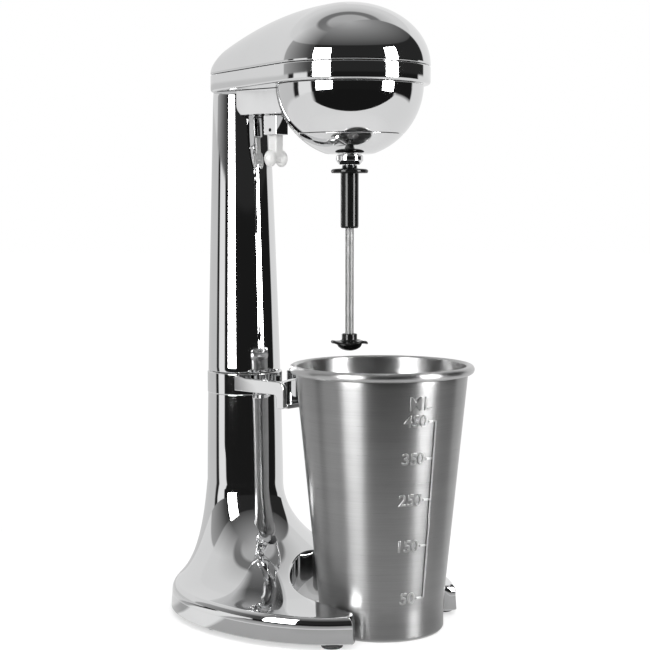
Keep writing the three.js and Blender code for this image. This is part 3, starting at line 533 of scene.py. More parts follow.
CHROME = chrome_plate()
STEEL = plain_steel()
# the cup's steel, with a painted highlight that makes its rim and inside brighter
CUP_STEEL = brushed_stainless("cup_stainless", CUP_Y, grey(0.25), grey(0.30), painted_brightness=0.46)
# painted highlight: the raised marks are the cup's steel painted lighter, so that they stand out bright
MARK_STEEL_PAINTED_LIGHTER = brushed_stainless("embossed_stainless_painted_lighter", CUP_Y, grey(0.40), grey(0.48))
ROD_STEEL = brushed_stainless("rod_stainless", SPINDLE_Y, grey(0.19), grey(0.25), drawn_out=0.0,
                              rough=(0.5, 0.58))
BLACK = moulded("black_plastic", grey(0.004), grey(0.008), 0.13, gloss=0.25, bump=0.01)
WHITE = moulded("white_plastic", (0.80, 0.80, 0.79, 1), (0.86, 0.86, 0.85, 1), 0.32, coat=0.2)
NYLON = moulded("grey_nylon", grey(0.18), grey(0.23), 0.5)
RUBBER = moulded("black_rubber", grey(0.012), grey(0.03), 0.75, grain_scale=1500, bump=0.2)
IRON = cast("cast_iron", grey(0.05), grey(0.14), 0.75)
LAMINATED = striped("laminated_steel", grey(0.16), grey(0.36), 0.4, 0.5)
WINDING = striped("copper_winding", (0.45, 0.19, 0.08, 1), (0.85, 0.45, 0.25, 1), 0.35, 0.6)
BRASS = cast("bright_brass", (0.7, 0.52, 0.22, 1), (0.85, 0.68, 0.36, 1), 0.3, bump=0.08)
CARBON = cast("carbon", grey(0.02), grey(0.05), 0.7, metallic=0.0)

BY_SLOT = {
    "chrome_plate": CHROME, "plain_steel": STEEL, "brushed_stainless": ROD_STEEL, "black_plastic": BLACK,
    "white_plastic": WHITE, "grey_plastic": NYLON, "black_rubber": RUBBER, "ballast_iron": IRON,
    "lamination_steel": LAMINATED, "copper": WINDING, "brass": BRASS, "carbon": CARBON,
}
STAND_CHROME = Look(CHROME, "stand", "chrome_plate")
ROTOR_CHROME = Look(CHROME, "rotor", "chrome_plate")
WHISK_BLACK = Look(BLACK, "whisk", "black_plastic")
WHISK_STEEL = Look(ROD_STEEL, "whisk", "brushed_stainless")
STAND_BLACK = Look(BLACK, "stand", "black_plastic")
STAND_RUBBER = Look(RUBBER, "stand", "black_rubber")
LEVER_WHITE = Look(WHITE, "switch_lever", "white_plastic")
CUP_LOOK = Look(CUP_STEEL, "cup", "brushed_stainless")


def finish_cad_nodes():
    """Each CAD node that stays takes the node material of its record slot."""
    for row in frame["record"]["subparts"]:
        mesh = frame["nodes"][row["node"]].data
        mesh.materials.clear()
        mesh.materials.append(BY_SLOT[row["material_slot"]])


# ---- column and base ----
def column_at(z):
    """Radius and centre of the column at a height."""
    u = max(0.0, (z - FLARE_TOP) / (COLUMN_TAPER_TOP - FLARE_TOP)) ** COLUMN_TAPER_POWER
    return COLUMN_BASE_R + (COLUMN_TOP_R - COLUMN_BASE_R) * u, COLUMN_Y + COLUMN_LEAN * u


def column_ring(z, grow=0.0):
    r, centre_y = column_at(z)
    return at_height(circle(r + grow, centre_y, full_turn(192)), z)


def bell_outline(g):
    """Centre, half widths, squareness and rear bulge of the bell when it has spread by the share g."""
    share = (BASE_BACK - COLUMN_BASE_R) / (2 * (BASE_HALF_LENGTH - COLUMN_BASE_R))
    forward = g * (1 + share) / (1 + share * np.maximum(g, 1e-12) ** (BACK_POWER - 1))
    back = COLUMN_BASE_R + (BASE_BACK - COLUMN_BASE_R) * g
    front = COLUMN_BASE_R + (2 * BASE_HALF_LENGTH - BASE_BACK - COLUMN_BASE_R) * forward
    half_x = COLUMN_BASE_R + (BASE_HALF_WIDTH - COLUMN_BASE_R) * g
    bulge = (BASE_BACK - COLUMN_BASE_R) * (g ** BACK_POWER - g)
    squareness = 2 + (BASE_SQUARENESS - 2) * g
    return COLUMN_Y + (back - front) / 2, half_x, (back + front) / 2, squareness, bulge


def bell_ring(g, angles):
    """The bell's outline at the share g: a squarish oval whose rear bulges out early."""
    centre, half_x, half_y, squareness, bulge = bell_outline(g)
    across, along = [np.sign(v) * np.abs(v) ** (2 / squareness) for v in (np.cos(angles), np.sin(angles))]
    return np.c_[across * half_x, centre + half_y * along + bulge * ((1 + along) / 2) ** 2]


def bell_height(g):
    return BASE_EDGE_TOP + (FLARE_TOP - BASE_EDGE_TOP) * (1 - g ** FLARE_POWER) ** (1 / FLARE_POWER)


def spread_at_height(z):
    t = (z - BASE_EDGE_TOP) / (FLARE_TOP - BASE_EDGE_TOP)
    return (1 - t ** FLARE_POWER) ** (1 / FLARE_POWER)


def spread_at(points):
    """The share g of the bell's outline that passes through each plan point."""
    low, high = np.full(len(points), 1e-9), np.full(len(points), 1.2)
    for _ in range(44):
        g = (low + high) / 2
        centre, half_x, half_y, squareness, bulge = bell_outline(g)
        slope, rest = half_y + bulge / 2, points[:, 1] - centre - bulge / 4
        along = 2 * rest / (slope + np.sqrt(np.maximum(slope ** 2 + bulge * rest, 0)))
        outside = np.abs(points[:, 0] / half_x) ** squareness + np.abs(along) ** squareness > 1
        low, high = np.where(outside, g, low), np.where(outside, high, g)
    return (low + high) / 2


def height_at(points):
    return bell_height(np.minimum(spread_at(points), 1.0))


def slope_normals(points, step=0.05):
    """Upward normals of the bell over plan points."""
    dx = (height_at(points + [step, 0]) - height_at(points - [step, 0])) / (2 * step)
    dy = (height_at(points + [0, step]) - height_at(points - [0, step])) / (2 * step)
    return unit(np.c_[-dx, -dy, np.ones(len(points))])


def averaged(values, times):
    """The values of a closed loop, each blended with its neighbours that many times."""
    for _ in range(times):
        values = (np.roll(values, 1, 0) + values * 2 + np.roll(values, -1, 0)) / 4
    return values


def base_plan(spacing=0.9):
    """The base seen from above, anticlockwise: an oval with a round-ended slot and rounded tips. Also returns
    how much each point belongs to the slot's edge, from 0 to 1."""
    tip_reach, tip_passes, share_passes = 6, 14, 30
    front, slot_centre = COLUMN_Y - PRONG_FRONT, COLUMN_Y - RECESS_CENTRE
    oval = bell_ring(1.0, np.radians(np.linspace(-90, 90, 1200)))
    oval = oval[oval[:, 1] > front]
    tip = arc(RECESS_HALF_WIDTH + PRONG_TIP_R, front + PRONG_TIP_R, PRONG_TIP_R, 180, 270, 40)
    slot = arc(0, slot_centre, RECESS_HALF_WIDTH, 90, 0, 200)
    half = np.vstack([slot, tip, oval])
    other = half[::-1] * [-1, 1]
    loop = np.vstack([half, other[1:-1], half[:1]])
    length = np.r_[0, np.cumsum(np.linalg.norm(np.diff(loop, axis=0), axis=1))]
    at = np.linspace(0, length[-1], int(length[-1] / spacing), endpoint=False)
    points = np.c_[np.interp(at, length, loop[:, 0]), np.interp(at, length, loop[:, 1])]
    tips = points[:, 1] < front + tip_reach
    for _ in range(tip_passes):
        points = np.where(tips[:, None], averaged(points, 1), points)
    beside_slot = np.abs(points[:, 0]) < RECESS_HALF_WIDTH + 2
    ahead = points[:, 1] < slot_centre + RECESS_HALF_WIDTH + 1
    return points, averaged((beside_slot & ahead).astype(float), share_passes)


def outward(points):
    """Outward plan normals of a closed loop whose inside lies to its left."""
    along = np.roll(points, -1, 0) - np.roll(points, 1, 0)
    return unit(np.c_[along[:, 1], -along[:, 0]])


def inside_loop(points, loop):
    """True where a plan point lies inside a closed loop."""
    x, y = points[:, 0], points[:, 1]
    inside = np.zeros(len(points), bool)
    for (x0, y0), (x1, y1) in zip(np.roll(loop, 1, 0), loop):
        if y0 != y1:
            inside ^= ((y0 > y) != (y1 > y)) & (x < (x1 - x0) * (y - y0) / (y1 - y0) + x0)
    return inside


def distance_to_loop(points, loop):
    return np.sqrt(((points[:, None] - loop[None]) ** 2).sum(2).min(1))


class Shell:
    """A growing mesh with a normal at each vertex."""

    def __init__(self):
        self.verts, self.normals, self.faces = [], [], []

    def add(self, points, normals):
        """Adds vertices and returns their numbers."""
        first = len(self.verts)
        self.verts += list(points)
        self.normals += list(normals)
        return list(range(first, len(self.verts)))


def add_bell_stack(shell):
    """The column's foot and the steep part of the bell, as rings from the top down. Returns the first and the
    last ring's vertex numbers."""
    top, bottom = BASE_HIGH[2], float(bell_height(FIRST_SPREAD))

    def ring_at(z):
        if z >= FLARE_TOP:
            return column_ring(z)
        return at_height(bell_ring(spread_at_height(z), full_turn(192)), z)

    straight = np.linspace(top, FLARE_TOP, 16)
    flare = FLARE_TOP - (FLARE_TOP - bottom) * np.linspace(0, 1, 34)[1:]
    rows = []
    for z in [*straight, *flare]:
        ring = ring_at(z)
        along = np.roll(ring, -1, 0) - np.roll(ring, 1, 0)
        up = ring_at(min(z + 0.05, top)) - ring_at(z - 0.05)
        rows.append(shell.add(ring, unit(np.cross(along, up))))
    shell.faces += turned_over(skin(rows))
    return rows[0], rows[-1]


def add_bell_spread(shell, last_ring, inner):
    """The spread part of the bell, between the last ring of the stack and the start of the rounded edge.
    Returns the vertex numbers along that edge."""
    hole = np.array([shell.verts[v][:2] for v in last_ring])
    spreads = np.linspace(FIRST_SPREAD, 0.97, 34)[1:]
    grid = np.vstack([bell_ring(g, full_turn(int(120 + 260 * g))) for g in spreads])
    grid = grid[inside_loop(grid, inner) & (distance_to_loop(grid, inner) > 0.8)]
    first = len(hole)
    edges = [(i, (i + 1) % first) for i in range(first)]
    edges += [(first + i, first + (i + 1) % len(inner)) for i in range(len(inner))]
    plan = [Vector(p) for p in np.vstack([hole, inner, grid])]
    flat, _, triangles, origins, _, _ = delaunay_2d_cdt(plan, edges, [], 1, 1e-7)
    flat = np.array([tuple(v) for v in flat])

    number = {new: last_ring[old[0]] for new, old in enumerate(origins) if old and old[0] < first}
    fresh = [new for new in range(len(flat)) if new not in number]
    spread = flat[fresh]
    number.update(zip(fresh, shell.add(at_height(spread, height_at(spread)), slope_normals(spread))))
    along_edge = [0] * len(inner)
    for new, old in enumerate(origins):
        for o in old:
            if first <= o < first + len(inner):
                along_edge[o - first] = number[new]

    centre = flat[np.array([list(t) for t in triangles])].mean(1)
    keep = ~inside_loop(centre, hole) & inside_loop(centre, inner)
    for (a, b, c), good in zip(triangles, keep):
        if good:
            area = np.cross(flat[b] - flat[a], flat[c] - flat[a])
            face = (number[a], number[b], number[c])
            shell.faces.append(face if area > 0 else (face[0], face[2], face[1]))
    return along_edge


def add_edge(shell, along_edge, inner, plan, share):
    """The rounded edge of the base, its upright band and its foot. Returns the innermost row's numbers."""
    out = outward(plan)
    wall = at_height(out, 0.0)
    draft = BAND_DRAFT * (1 - share)
    edge_z = height_at(inner)
    blend = np.clip((share - 0.2) / 0.6, 0, 1)
    band_top = (BASE_BAND_TOP + 0.3) * (1 - blend) + (edge_z - 1.4) * blend
    lip = plan - out * draft[:, None]
    slope = slope_normals(inner)
    fall = (slope[:, :2] / slope[:, 2:] * out).sum(1) * np.linalg.norm(lip - inner, axis=1)
    start, corner, end = at_height(inner, edge_z), at_height(lip, edge_z - fall), at_height(lip, band_top)
    rows = [along_edge]
    steps = 7
    for k in range(1, steps + 1):
        t = k / steps
        points = bend(start, corner, end, t)
        outwards = 2 * (1 - t) * (corner - start) + 2 * t * (end - corner)
        n = unit(np.cross(outwards, np.roll(points, -1, 0) - np.roll(points, 1, 0)))
        n *= np.sign((n * wall).sum(1) + 1e-9)[:, None]
        rows.append(shell.add(points, n))

    bottom = BASE_LOW[2]
    face = unit(at_height(out, draft / (BASE_BAND_TOP - bottom)))
    down = np.tile([0, 0, -1.0], (len(plan), 1))
    foot = [(lip, band_top - 0.05, face), (plan, bottom + 0.5, face), (plan - out * 0.4, bottom, down),
            (plan - out * (BASE_WALL - 0.2), bottom, down), (plan - out * BASE_WALL, bottom + 0.3, -wall),
            (plan - out * BASE_WALL, band_top - 2.5, -wall)]
    rows += [shell.add(at_height(points, z), n) for points, z, n in foot]
    for low, high in zip(rows[1:], rows[:-1]):
        shell.faces += bridge(low, high)
    return rows[-1]


def build_base():
    """The bell and the lower column in one hollow casting: outside, lining and the edge between them."""
    shell = Shell()
    plan, share = base_plan()
    inset = EDGE_INSET + (SLOT_EDGE_INSET - EDGE_INSET) * share
    inner = plan - outward(plan) * inset[:, None]
    top_ring, last_ring = add_bell_stack(shell)
    along_edge = add_bell_spread(shell, last_ring, inner)
    outside, outside_faces = len(shell.verts), list(shell.faces)
    inmost = add_edge(shell, along_edge, inner, plan, share)

    verts, normals = np.array(shell.verts[:outside]), np.array(shell.normals[:outside])
    lining = shell.add(verts - normals * BASE_WALL, -normals)
    shell.faces += [tuple(lining[v] for v in reversed(f)) for f in outside_faces]
    lined_edge, lined_top = [lining[v] for v in along_edge], [lining[v] for v in top_ring]
    shell.faces += [(a, c, d, b) for a, b, d, c in bridge(inmost, lined_edge)]
    shell.faces += bridge(top_ring, lined_top)
    make("base_bell", "base_shell", (shell.verts, shell.faces), STAND_CHROME, shell.normals)


def build_column():
    """The tube from the base to the head, with a small chamfer at its foot."""
    low, high, _ = upright("upper_column")
    steps, edge = 60, 0.35
    rows = [(low, -edge)] + [(low + edge + (high - low - edge) * k / steps, 0.0) for k in range(steps + 1)]
    rows += [(high, -COLUMN_WALL), (low, -COLUMN_WALL)]
    rings = [column_ring(z, grow) for z, grow in rows]
    tube = np.vstack(rings), skin(rings, close_stack=True)
    weigh_normals(make("column_tube", "upper_column", tube, STAND_CHROME))


def hook_outline(low, top, foot):
    """An arm of the cup rest from the side: straight, then turning down round a rounded front corner."""
    front, back = REST_ARM_FRONT, REST_ARM_BACK
    corner, lug, web = 4.2, 5.4, 2.4
    points = [(back, low), (back, top + 0.5), (back - 5.5, top + 0.5), (back - 7.5, top)]
    points += list(arc(front + corner, top - corner, corner, 90, 180, 10))
    points += [(front, foot + 1.2), (front + 0.5, foot + 0.3), (front + 1.4, foot), (front + lug, foot)]
    points += list(arc(front + lug + web, low - web, web, 180, 90, 6))
    return points[::-1]


def build_cup_rest():
    """Collar round the column, two straight arms, and a hollow wall with a ledge for the cup's foot."""
    low, high = limits("cup_rest")
    half, foot, top = high[0], low[2], high[2]
    arm_top = top - 1.2
    below, above = REST_CLEAR
    collar_r = column_at(REST_COLLAR_LOW)[0] + 0.5
    side_view = hook_outline(REST_ARM_LOW, arm_top, foot)
    arms = [sideways_prism(side_view, -half, REST_ARM_THICK - half),
            sideways_prism(side_view, half - REST_ARM_THICK, half)]
    bore = cylinder(COLUMN_Y, REST_BORE_R, below, above, 96)
    whole = carve(cylinder(COLUMN_Y, collar_r, REST_COLLAR_LOW, top),
                  [("UNION", arms[0]), ("UNION", arms[1]), ("DIFFERENCE", bore)])
    soften(make("cup_rest_arms", "cup_rest", whole, STAND_CHROME), 0.5)

    inner = half - REST_ARM_THICK + 0.3
    inside_r, outside_r = REST_WALL_R
    block = box((-inner, REST_ARM_FRONT - 0.8, foot + 0.02), (inner, REST_WALL_BACK, arm_top - 0.3))
    wall = carve(block, [
        ("INTERSECT", cylinder(SPINDLE_Y, outside_r, below, above, 256)),
        ("DIFFERENCE", cylinder(SPINDLE_Y, inside_r, REST_LEDGE, above, 256)),
    ])
    soften(make("cup_rest_wall", "cup_rest", wall, STAND_CHROME), 0.5)


# ---- head ----
def head_plan(inset=0.0, front_steps=110, side_steps=50, back_steps=50):
    """The head seen from above, anticlockwise, with the place on its centre line each point shrinks to."""
    front, back = HEAD_FRONT_R - inset, HEAD_BACK_R - inset
    lean = math.asin((front - back) / (COLUMN_Y - SPINDLE_Y))
    wide, narrow = math.pi / 2 + lean, math.pi / 2 - lean
    nose = circle(front, SPINDLE_Y, np.linspace(-math.pi / 2 - wide, -math.pi / 2 + wide, front_steps + 1))
    tail = circle(back, COLUMN_Y, np.linspace(math.pi / 2 - narrow, math.pi / 2 + narrow, back_steps + 1))
    t = (np.arange(side_steps) + 1)[:, None] / (side_steps + 1)
    right, left = nose[-1] + (tail[0] - nose[-1]) * t, tail[-1] + (nose[0] - tail[-1]) * t
    foot_right = SPINDLE_Y + (COLUMN_Y - SPINDLE_Y) * t[:, 0]
    outline = np.vstack([nose, right, tail, left])
    foot = np.r_[np.full(len(nose), SPINDLE_Y), foot_right, np.full(len(tail), COLUMN_Y), foot_right[::-1]]
    return outline, foot


def head_ring(inset, z):
    return at_height(head_plan(inset)[0], z)


def ridge_height(y):
    return HEAD_TOP - np.maximum(0, y - SPINDLE_Y) ** 2 / (2 * RIDGE_R)


def cover_rings(inset, seam):
    outline, foot = head_plan(inset)
    rings = []
    for angle in np.radians(np.linspace(0, 90, 46)):
        c, s = math.cos(angle), math.sin(angle)
        x, y = outline[:, 0] * c, foot + (outline[:, 1] - foot) * c
        rings.append(np.c_[x, y, seam + (ridge_height(y) - inset - seam) * s])
    return rings


def merge_points(piece, distance=1e-6):
    work = bmesh.new()
    work.from_mesh(piece.data)
    bmesh.ops.remove_doubles(work, verts=work.verts, dist=distance)
    bmesh.ops.dissolve_degenerate(work, edges=work.edges, dist=1e-7)
    work.to_mesh(piece.data)
    work.free()
    smooth(piece.data)


def build_cover():
    """Top cover with a rounded lower edge, and its inside one wall thickness in."""
    seam = COVER_LOW[2]
    rows = [(HEAD_WALL, 0.0), (0.8, 0.0), (0.4, 0.12), (0.1, 0.36)]
    lip = [head_ring(inset, seam + z) for inset, z in rows]
    rings = cover_rings(HEAD_WALL, seam + 0.3)[::-1] + lip + cover_rings(0.0, seam + 0.6)
    piece = make("head_top_cover", "head_cover", (np.vstack(rings), skin(rings)), STAND_CHROME)
    merge_points(piece)
    weigh_normals(piece)


def floor_hole(outline):
    """The motor's opening in the head's floor, matched point for point to the outline."""
    away = outline - [0, SPINDLE_Y]
    return circle(MOTOR_HOLE_R, SPINDLE_Y, np.arctan2(away[:, 1], away[:, 0]))


def build_band():
    """The band under the seam, with a floor that has room for the motor."""
    low, high, _ = upright("head_housing")
    high += 0.12
    floor_top, floor_inset = low + 2, 1.6
    rows = [(HEAD_WALL, high), (0.8, high), (0.4, high - 0.12), (0.1, high - 0.36), (0, high - 0.8),
            (0, low + 1.6), (0.1, low + 1.0), (0.4, low + 0.45), (0.9, low + 0.12), (floor_inset, low)]
    hole = floor_hole(head_plan(floor_inset)[0])
    rings = [head_ring(inset, z) for inset, z in rows]
    rings += [at_height(hole, low), at_height(hole, floor_top), head_ring(HEAD_WALL, floor_top)]
    band = np.vstack(rings), turned_over(skin(rings, close_stack=True))
    weigh_normals(make("head_band", "head_housing", band, STAND_CHROME))


def sphere_points(r, low, high, steps):
    angles = np.linspace(math.asin((low - DOME_CENTRE) / r), math.asin((high - DOME_CENTRE) / r), steps + 1)
    return [(r * math.cos(a), DOME_CENTRE + r * math.sin(a)) for a in angles]


def build_dome():
    """The round motor casing and the cap that closes its bottom."""
    inner = DOME_R - DOME_WALL
    low, high, _ = upright("motor_dome")
    body = sphere_points(DOME_R, low, high, 44) + sphere_points(inner, low, high, 24)[::-1]
    lathe("motor_dome_shell", "motor_dome", body, STAND_CHROME, radius=0.35, segments=192)

    low, high, _ = upright("dome_cap")
    bore = 4.2
    cap = [(bore, low), (11.6, low, 1.2)] + sphere_points(DOME_R, low + 0.25, high, 20)
    cap += sphere_points(inner, low + DOME_WALL, high, 12)[::-1] + [(bore, low + DOME_WALL)]
    lathe("dome_bottom_cap", "dome_cap", cap, STAND_CHROME, radius=0.35, segments=192)


def build_neck():
    """The hollow block under the arm, cut to the column and open where the lever comes out."""
    low, high = limits("neck_block")
    half, back, bottom, top = high[0], high[1], low[2], high[2]
    front = low[1] - NECK_REACH
    corner = arc(back - NECK_CORNER, bottom + NECK_CORNER, NECK_CORNER, -90, 0, 10)
    side_view = [(front, bottom), *corner, (back, top), (front, top)]
    inside_low = (-half + NECK_WALL, front + NECK_WALL, bottom + NECK_WALL)
    inside_high = (half - NECK_WALL, NECK_HOLLOW_BACK, top + 1)
    r, centre_y = column_at((bottom + top) / 2)
    slot, ahead, behind = NECK_SLOT
    shape = carve(sideways_prism(side_view, -half, half), [
        ("DIFFERENCE", box(inside_low, inside_high)),
        ("DIFFERENCE", cylinder(centre_y, r + 0.3, bottom - 2, top + 2)),
        ("DIFFERENCE", box((-slot, LEVER_Y - ahead, bottom - 2), (slot, LEVER_Y + behind, bottom + 4))),
    ])
    soften(make("neck_cover", "neck_block", shape, STAND_CHROME), 0.9, segments=4, angle=40)


def lever_block(across, deep, bottom, top):
    """A block round the lever's place, by its half width and half depth."""
    return box((-across, LEVER_Y - deep, bottom), (across, LEVER_Y + deep, top))


def build_switch_box():
    bottom, top, half = upright("switch_housing")
    inner = half - SWITCH_WALL
    hollow = lever_block(inner, inner, bottom - 1, top + 1)
    shape = carve(lever_block(half, half, bottom, top), [("DIFFERENCE", hollow)])
    soften(make("switch_box", "switch_housing", shape, STAND_CHROME), 0.35)


def lever_tip(x, steps=20):
    """One of the lever's egg-shaped tips, as vertices and faces."""
    phis = [math.pi * k / steps - math.pi / 2 for k in range(steps + 1)]
    reach = LEVER_TIP_R * LEVER_TIP_STRETCH
    egg = [(LEVER_TIP_R * math.cos(phi), LEVER_TIP_Z + reach * math.sin(phi)) for phi in phis]
    return turned(egg, (x, LEVER_Y), 40, closed=False)


def build_lever():
    """The white lever, one soft-edged moulding: a stem, a thin tongue above it and two round tips below."""
    shape = carve(lever_block(LEVER_STEM, LEVER_STEM, LEVER_TIP_Z, LEVER_SHOULDER + 1), [
        ("UNION", lever_block(LEVER_STEM, LEVER_TONGUE, LEVER_SHOULDER, upright("cup_lever")[1])),
        ("UNION", lever_block(LEVER_SPREAD, LEVER_BAR, LEVER_TIP_Z - 2, LEVER_TIP_Z + 2)),
        ("UNION", lever_tip(-LEVER_SPREAD)),
        ("UNION", lever_tip(LEVER_SPREAD)),
    ])
    lever = make("cup_switch_lever", "cup_lever", shape, LEVER_WHITE)
    set_up(lever.modifiers.new("even", "REMESH"), mode="VOXEL", voxel_size=0.28 * M, use_smooth_shade=True)
    set_up(lever.modifiers.new("soft", "CORRECTIVE_SMOOTH"), factor=0.6, iterations=10, use_only_smooth=True)
    mesh = evaluated(lever)
    lever.modifiers.clear()
    lever.data = mesh
    smooth(mesh)


# ---- drive, whisk and cup ----
def build_drive_nut():
    bottom, top, r = upright("drive_collar")
    bore = 3.3
    nut = [(bore, bottom), (5.4, bottom), (6.2, bottom + 1.0), (r, bottom + 2.2), (r, top - 0.8),
           (r - 0.8, top), (bore, top)]
    lathe("drive_nut", "drive_collar", nut, ROTOR_CHROME, radius=0.5, segments=96)


def build_sleeve():
    """The whisk's sleeve: sockets for the rod and the shaft with a web between them, and a flange."""
    bottom, top, flange = upright("whisk_sleeve")
    r, rod_r, web_low, web_high, flange_low = 4.7, 2.5, 225.4, 229.1, 236.5
    sleeve = [(0, web_low), (rod_r, web_low), (rod_r, bottom), (4.3, bottom, 0.5), (r, bottom + 0.9, 0.6),
              (r, flange_low + 0.1, 0.4), (flange - 0.4, flange_low, 0.3), (flange, flange_low + 0.6, 0.4),
              (flange, flange_low + 1.5, 0.4), (flange - 0.7, flange_low + 2.1, 0.5),
              (4.5, flange_low + 2.5, 0.4), (3.9, flange_low + 2.9, 0.3), (3.9, top), (3.3, top),
              (3.3, web_high), (0, web_high)]
    lathe("whisk_sleeve_body", "whisk_sleeve", sleeve, WHISK_BLACK, radius=0.25, closed=False, segments=96)


def build_rod():
    bottom, top, r = upright("whisk_rod")
    rod = [(0, bottom), (r, bottom), (r, top), (0, top)]
    lathe("whisk_shaft", "whisk_rod", rod, WHISK_STEEL, radius=0.3, closed=False, segments=64)


def build_agitator():
    """Hub over a wavy disc with a domed underside."""
    bottom, top, r_max = upright("agitator")
    disc_low, hub_r, socket_r, wave_from = 147.2, 4.05, 2.5, 5.5

    def wave(r, angle):
        return 0.72 * max(0.0, (r - wave_from) / (r_max - wave_from)) ** 1.2 * math.sin(3 * angle)

    centre = disc_low + 0.1
    depth = centre - bottom
    dome = [(6.6 * math.sin(a), centre - depth * math.cos(a), 0) for a in np.linspace(0, 1.45, 16)]
    disc = [(6.7, disc_low, 0.2), (r_max - 0.3, disc_low, 0.3), (r_max, disc_low + 0.7, 0.5),
            (r_max - 0.5, disc_low + 1.4, 0.4), (5.2, disc_low + 1.6, 0.5)]
    hub = [(hub_r, disc_low + 2.1, 0.5), (hub_r, disc_low + 3.8, 0.2), (hub_r, top - 0.3, 0.4),
           (3.3, top, 0.2), (socket_r, top), (socket_r, disc_low - 0.4), (0, disc_low - 0.4)]
    lathe("agitator_disc", "agitator", dome + disc + hub, WHISK_BLACK, radius=0.3, closed=False, segments=144,
          steps=5, lift=wave)


def cup_radius(z):
    """Outside radius of the cup at a height: straight at the foot, conical above."""
    return CUP_BASE_R + CUP_SLOPE * max(0.0, z - CUP_CONE_BOTTOM)


def build_cup():
    """One thin wall from the raised floor over foot and cone to the rolled rim, and back down inside."""
    rim = arc(CUP_RIM_R - CUP_BEAD_R, CUP_HEIGHT - CUP_BEAD_R, CUP_BEAD_R, -125, 150, 24)
    bead = [(r, z, 0) for r, z in rim]
    cone = [(cup_radius(z), z, 0) for z in np.linspace(CUP_CONE_BOTTOM + 3, CUP_NECK - 0.6, 40)]
    inside = [(r - CUP_SHEET, z, 0) for r, z, _ in cone[::-1]]
    underside, base, inner = CUP_FLOOR - CUP_SHEET, CUP_BASE_R, CUP_BASE_R - CUP_SHEET
    foot = [(0, underside), (base - 5.4, underside, 1.2), (base - 3.4, 0.0, 0.9), (base - 1.3, 0.0, 1.2),
            (base, 1.5, 1.6), (base, CUP_CONE_BOTTOM, 12)]
    floor = [(inner, CUP_CONE_BOTTOM, 12), (inner, CUP_FLOOR + 1.5, 2), (inner - 2, CUP_FLOOR, 1.5),
             (0, CUP_FLOOR)]
    lathe("drink_cup", "cup", foot + cone + bead + inside + floor, CUP_LOOK, (0.0, CUP_Y), closed=False,
          segments=256)


def wrap_on_cup(mesh, centre_z):
    """Bends a flat mark (x across, y up, z out, in millimetres) round the cup's cone."""
    top = max(v.co.z for v in mesh.vertices)
    for v in mesh.vertices:
        z = centre_z + v.co.y
        r = cup_radius(z) + (SCALE_RAISED * v.co.z / top if v.co.z > 1e-6 else -CUP_SHEET / 2)
        a = SCALE_ANGLE + v.co.x / cup_radius(z)
        v.co = Vector((r * math.cos(a), CUP_Y + r * math.sin(a), z)) * M


def text_mark(name, words, size, spacing):
    """The mesh of a raised number or unit, set to end at its origin."""
    curve = set_up(bpy.data.curves.new(name, "FONT"), body=words, size=size, space_character=spacing,
                   align_x="RIGHT", align_y="CENTER", offset=0.04, extrude=0.3, bevel_depth=0.16,
                   bevel_resolution=1, resolution_u=4)
    holder = place(name, curve)
    mesh = evaluated(holder)
    bpy.data.objects.remove(holder)
    return mesh


def height_of_volume(millilitres):
    """Height in the cup at which it holds a volume."""
    step, z, held = 0.05, SCALE_FLOOR, 0.0
    while held < millilitres:
        held += math.pi * (cup_radius(z) - CUP_SHEET) ** 2 * step / 1000
        z += step
    return z


def ribbon(name, x0, x1, y0, y1):
    """A flat bar of the scale, cut across so that it can bend round the cup."""
    cuts = 24
    xs, ys = np.linspace(x0, x1, 3), np.linspace(y0, y1, cuts + 1)
    verts = [(x, y, z) for z in (0.0, 1.0) for y in ys for x in xs]
    layer = 3 * (cuts + 1)
    faces = []
    for j in range(cuts):
        for a in (j * 3, j * 3 + 1):
            faces += [(layer + a, layer + a + 1, layer + a + 4, layer + a + 3), (a + 3, a + 4, a + 1, a)]
    rim = [j * 3 for j in range(cuts + 1)] + [cuts * 3 + 1] + [j * 3 + 2 for j in range(cuts, -1, -1)] + [1]
    faces += [(b, a, layer + a, layer + b) for a, b in zip(rim, shifted(rim))]
    mesh = bpy.data.meshes.new(name)
    mesh.from_pydata(verts, [], faces)
    return mesh


def add_mark(name, mesh, centre_z, shift=0.0):
    """A mark of the scale on the cup, moved across by the shift."""
    for v in mesh.vertices:
        v.co.x += shift
    piece = place(name, mesh)
    wrap_on_cup(mesh, centre_z)
    mesh.materials.clear()
    mesh.materials.append(MARK_STEEL_PAINTED_LIGHTER)
    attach(piece, "cup")


def build_scale():
    """Embossed millilitre scale: an upright line, with a dash and a number at each mark."""
    heights = {ml: height_of_volume(ml) for ml in SCALE_MARKS}
    lowest, highest = min(heights.values()), max(heights.values())
    reach, half = SCALE_DASH
    add_mark("scale_line", ribbon("scale_line", -SCALE_LINE, SCALE_LINE, lowest, highest), 0.0)
    for ml, z in heights.items():
        add_mark(f"scale_dash_{ml}", ribbon("dash", -reach, -SCALE_LINE, -half, half), z)
        number = text_mark("number", str(ml), size=8.3, spacing=1.0)
        add_mark(f"scale_number_{ml}", number, z, shift=-reach - 1)
    unit_mark = text_mark("unit", "ML", size=9.4, spacing=1.15)
    add_mark("scale_unit", unit_mark, highest + 8.8, shift=1 - reach)


# ---- small outside pieces ----
def build_feet():
    for node in [n for n in frame["nodes"] if n.startswith("foot_")]:
        low, high = limits(node)
        x, y, _ = (low + high) / 2
        r, top = (high[0] - low[0]) / 2, high[2]
        pad = [(0, 0.35), (r - 2.2, 0.35), (r - 1.8, 0), (r - 0.5, 0, 0.5), (r, 0.7, 0.5), (r, 2.2, 0.3),
               (3, 2.2), (3, top), (0, top)]
        lathe(node + "_pad", node, pad, STAND_RUBBER, (x, y), radius=0.2, closed=False, segments=48)


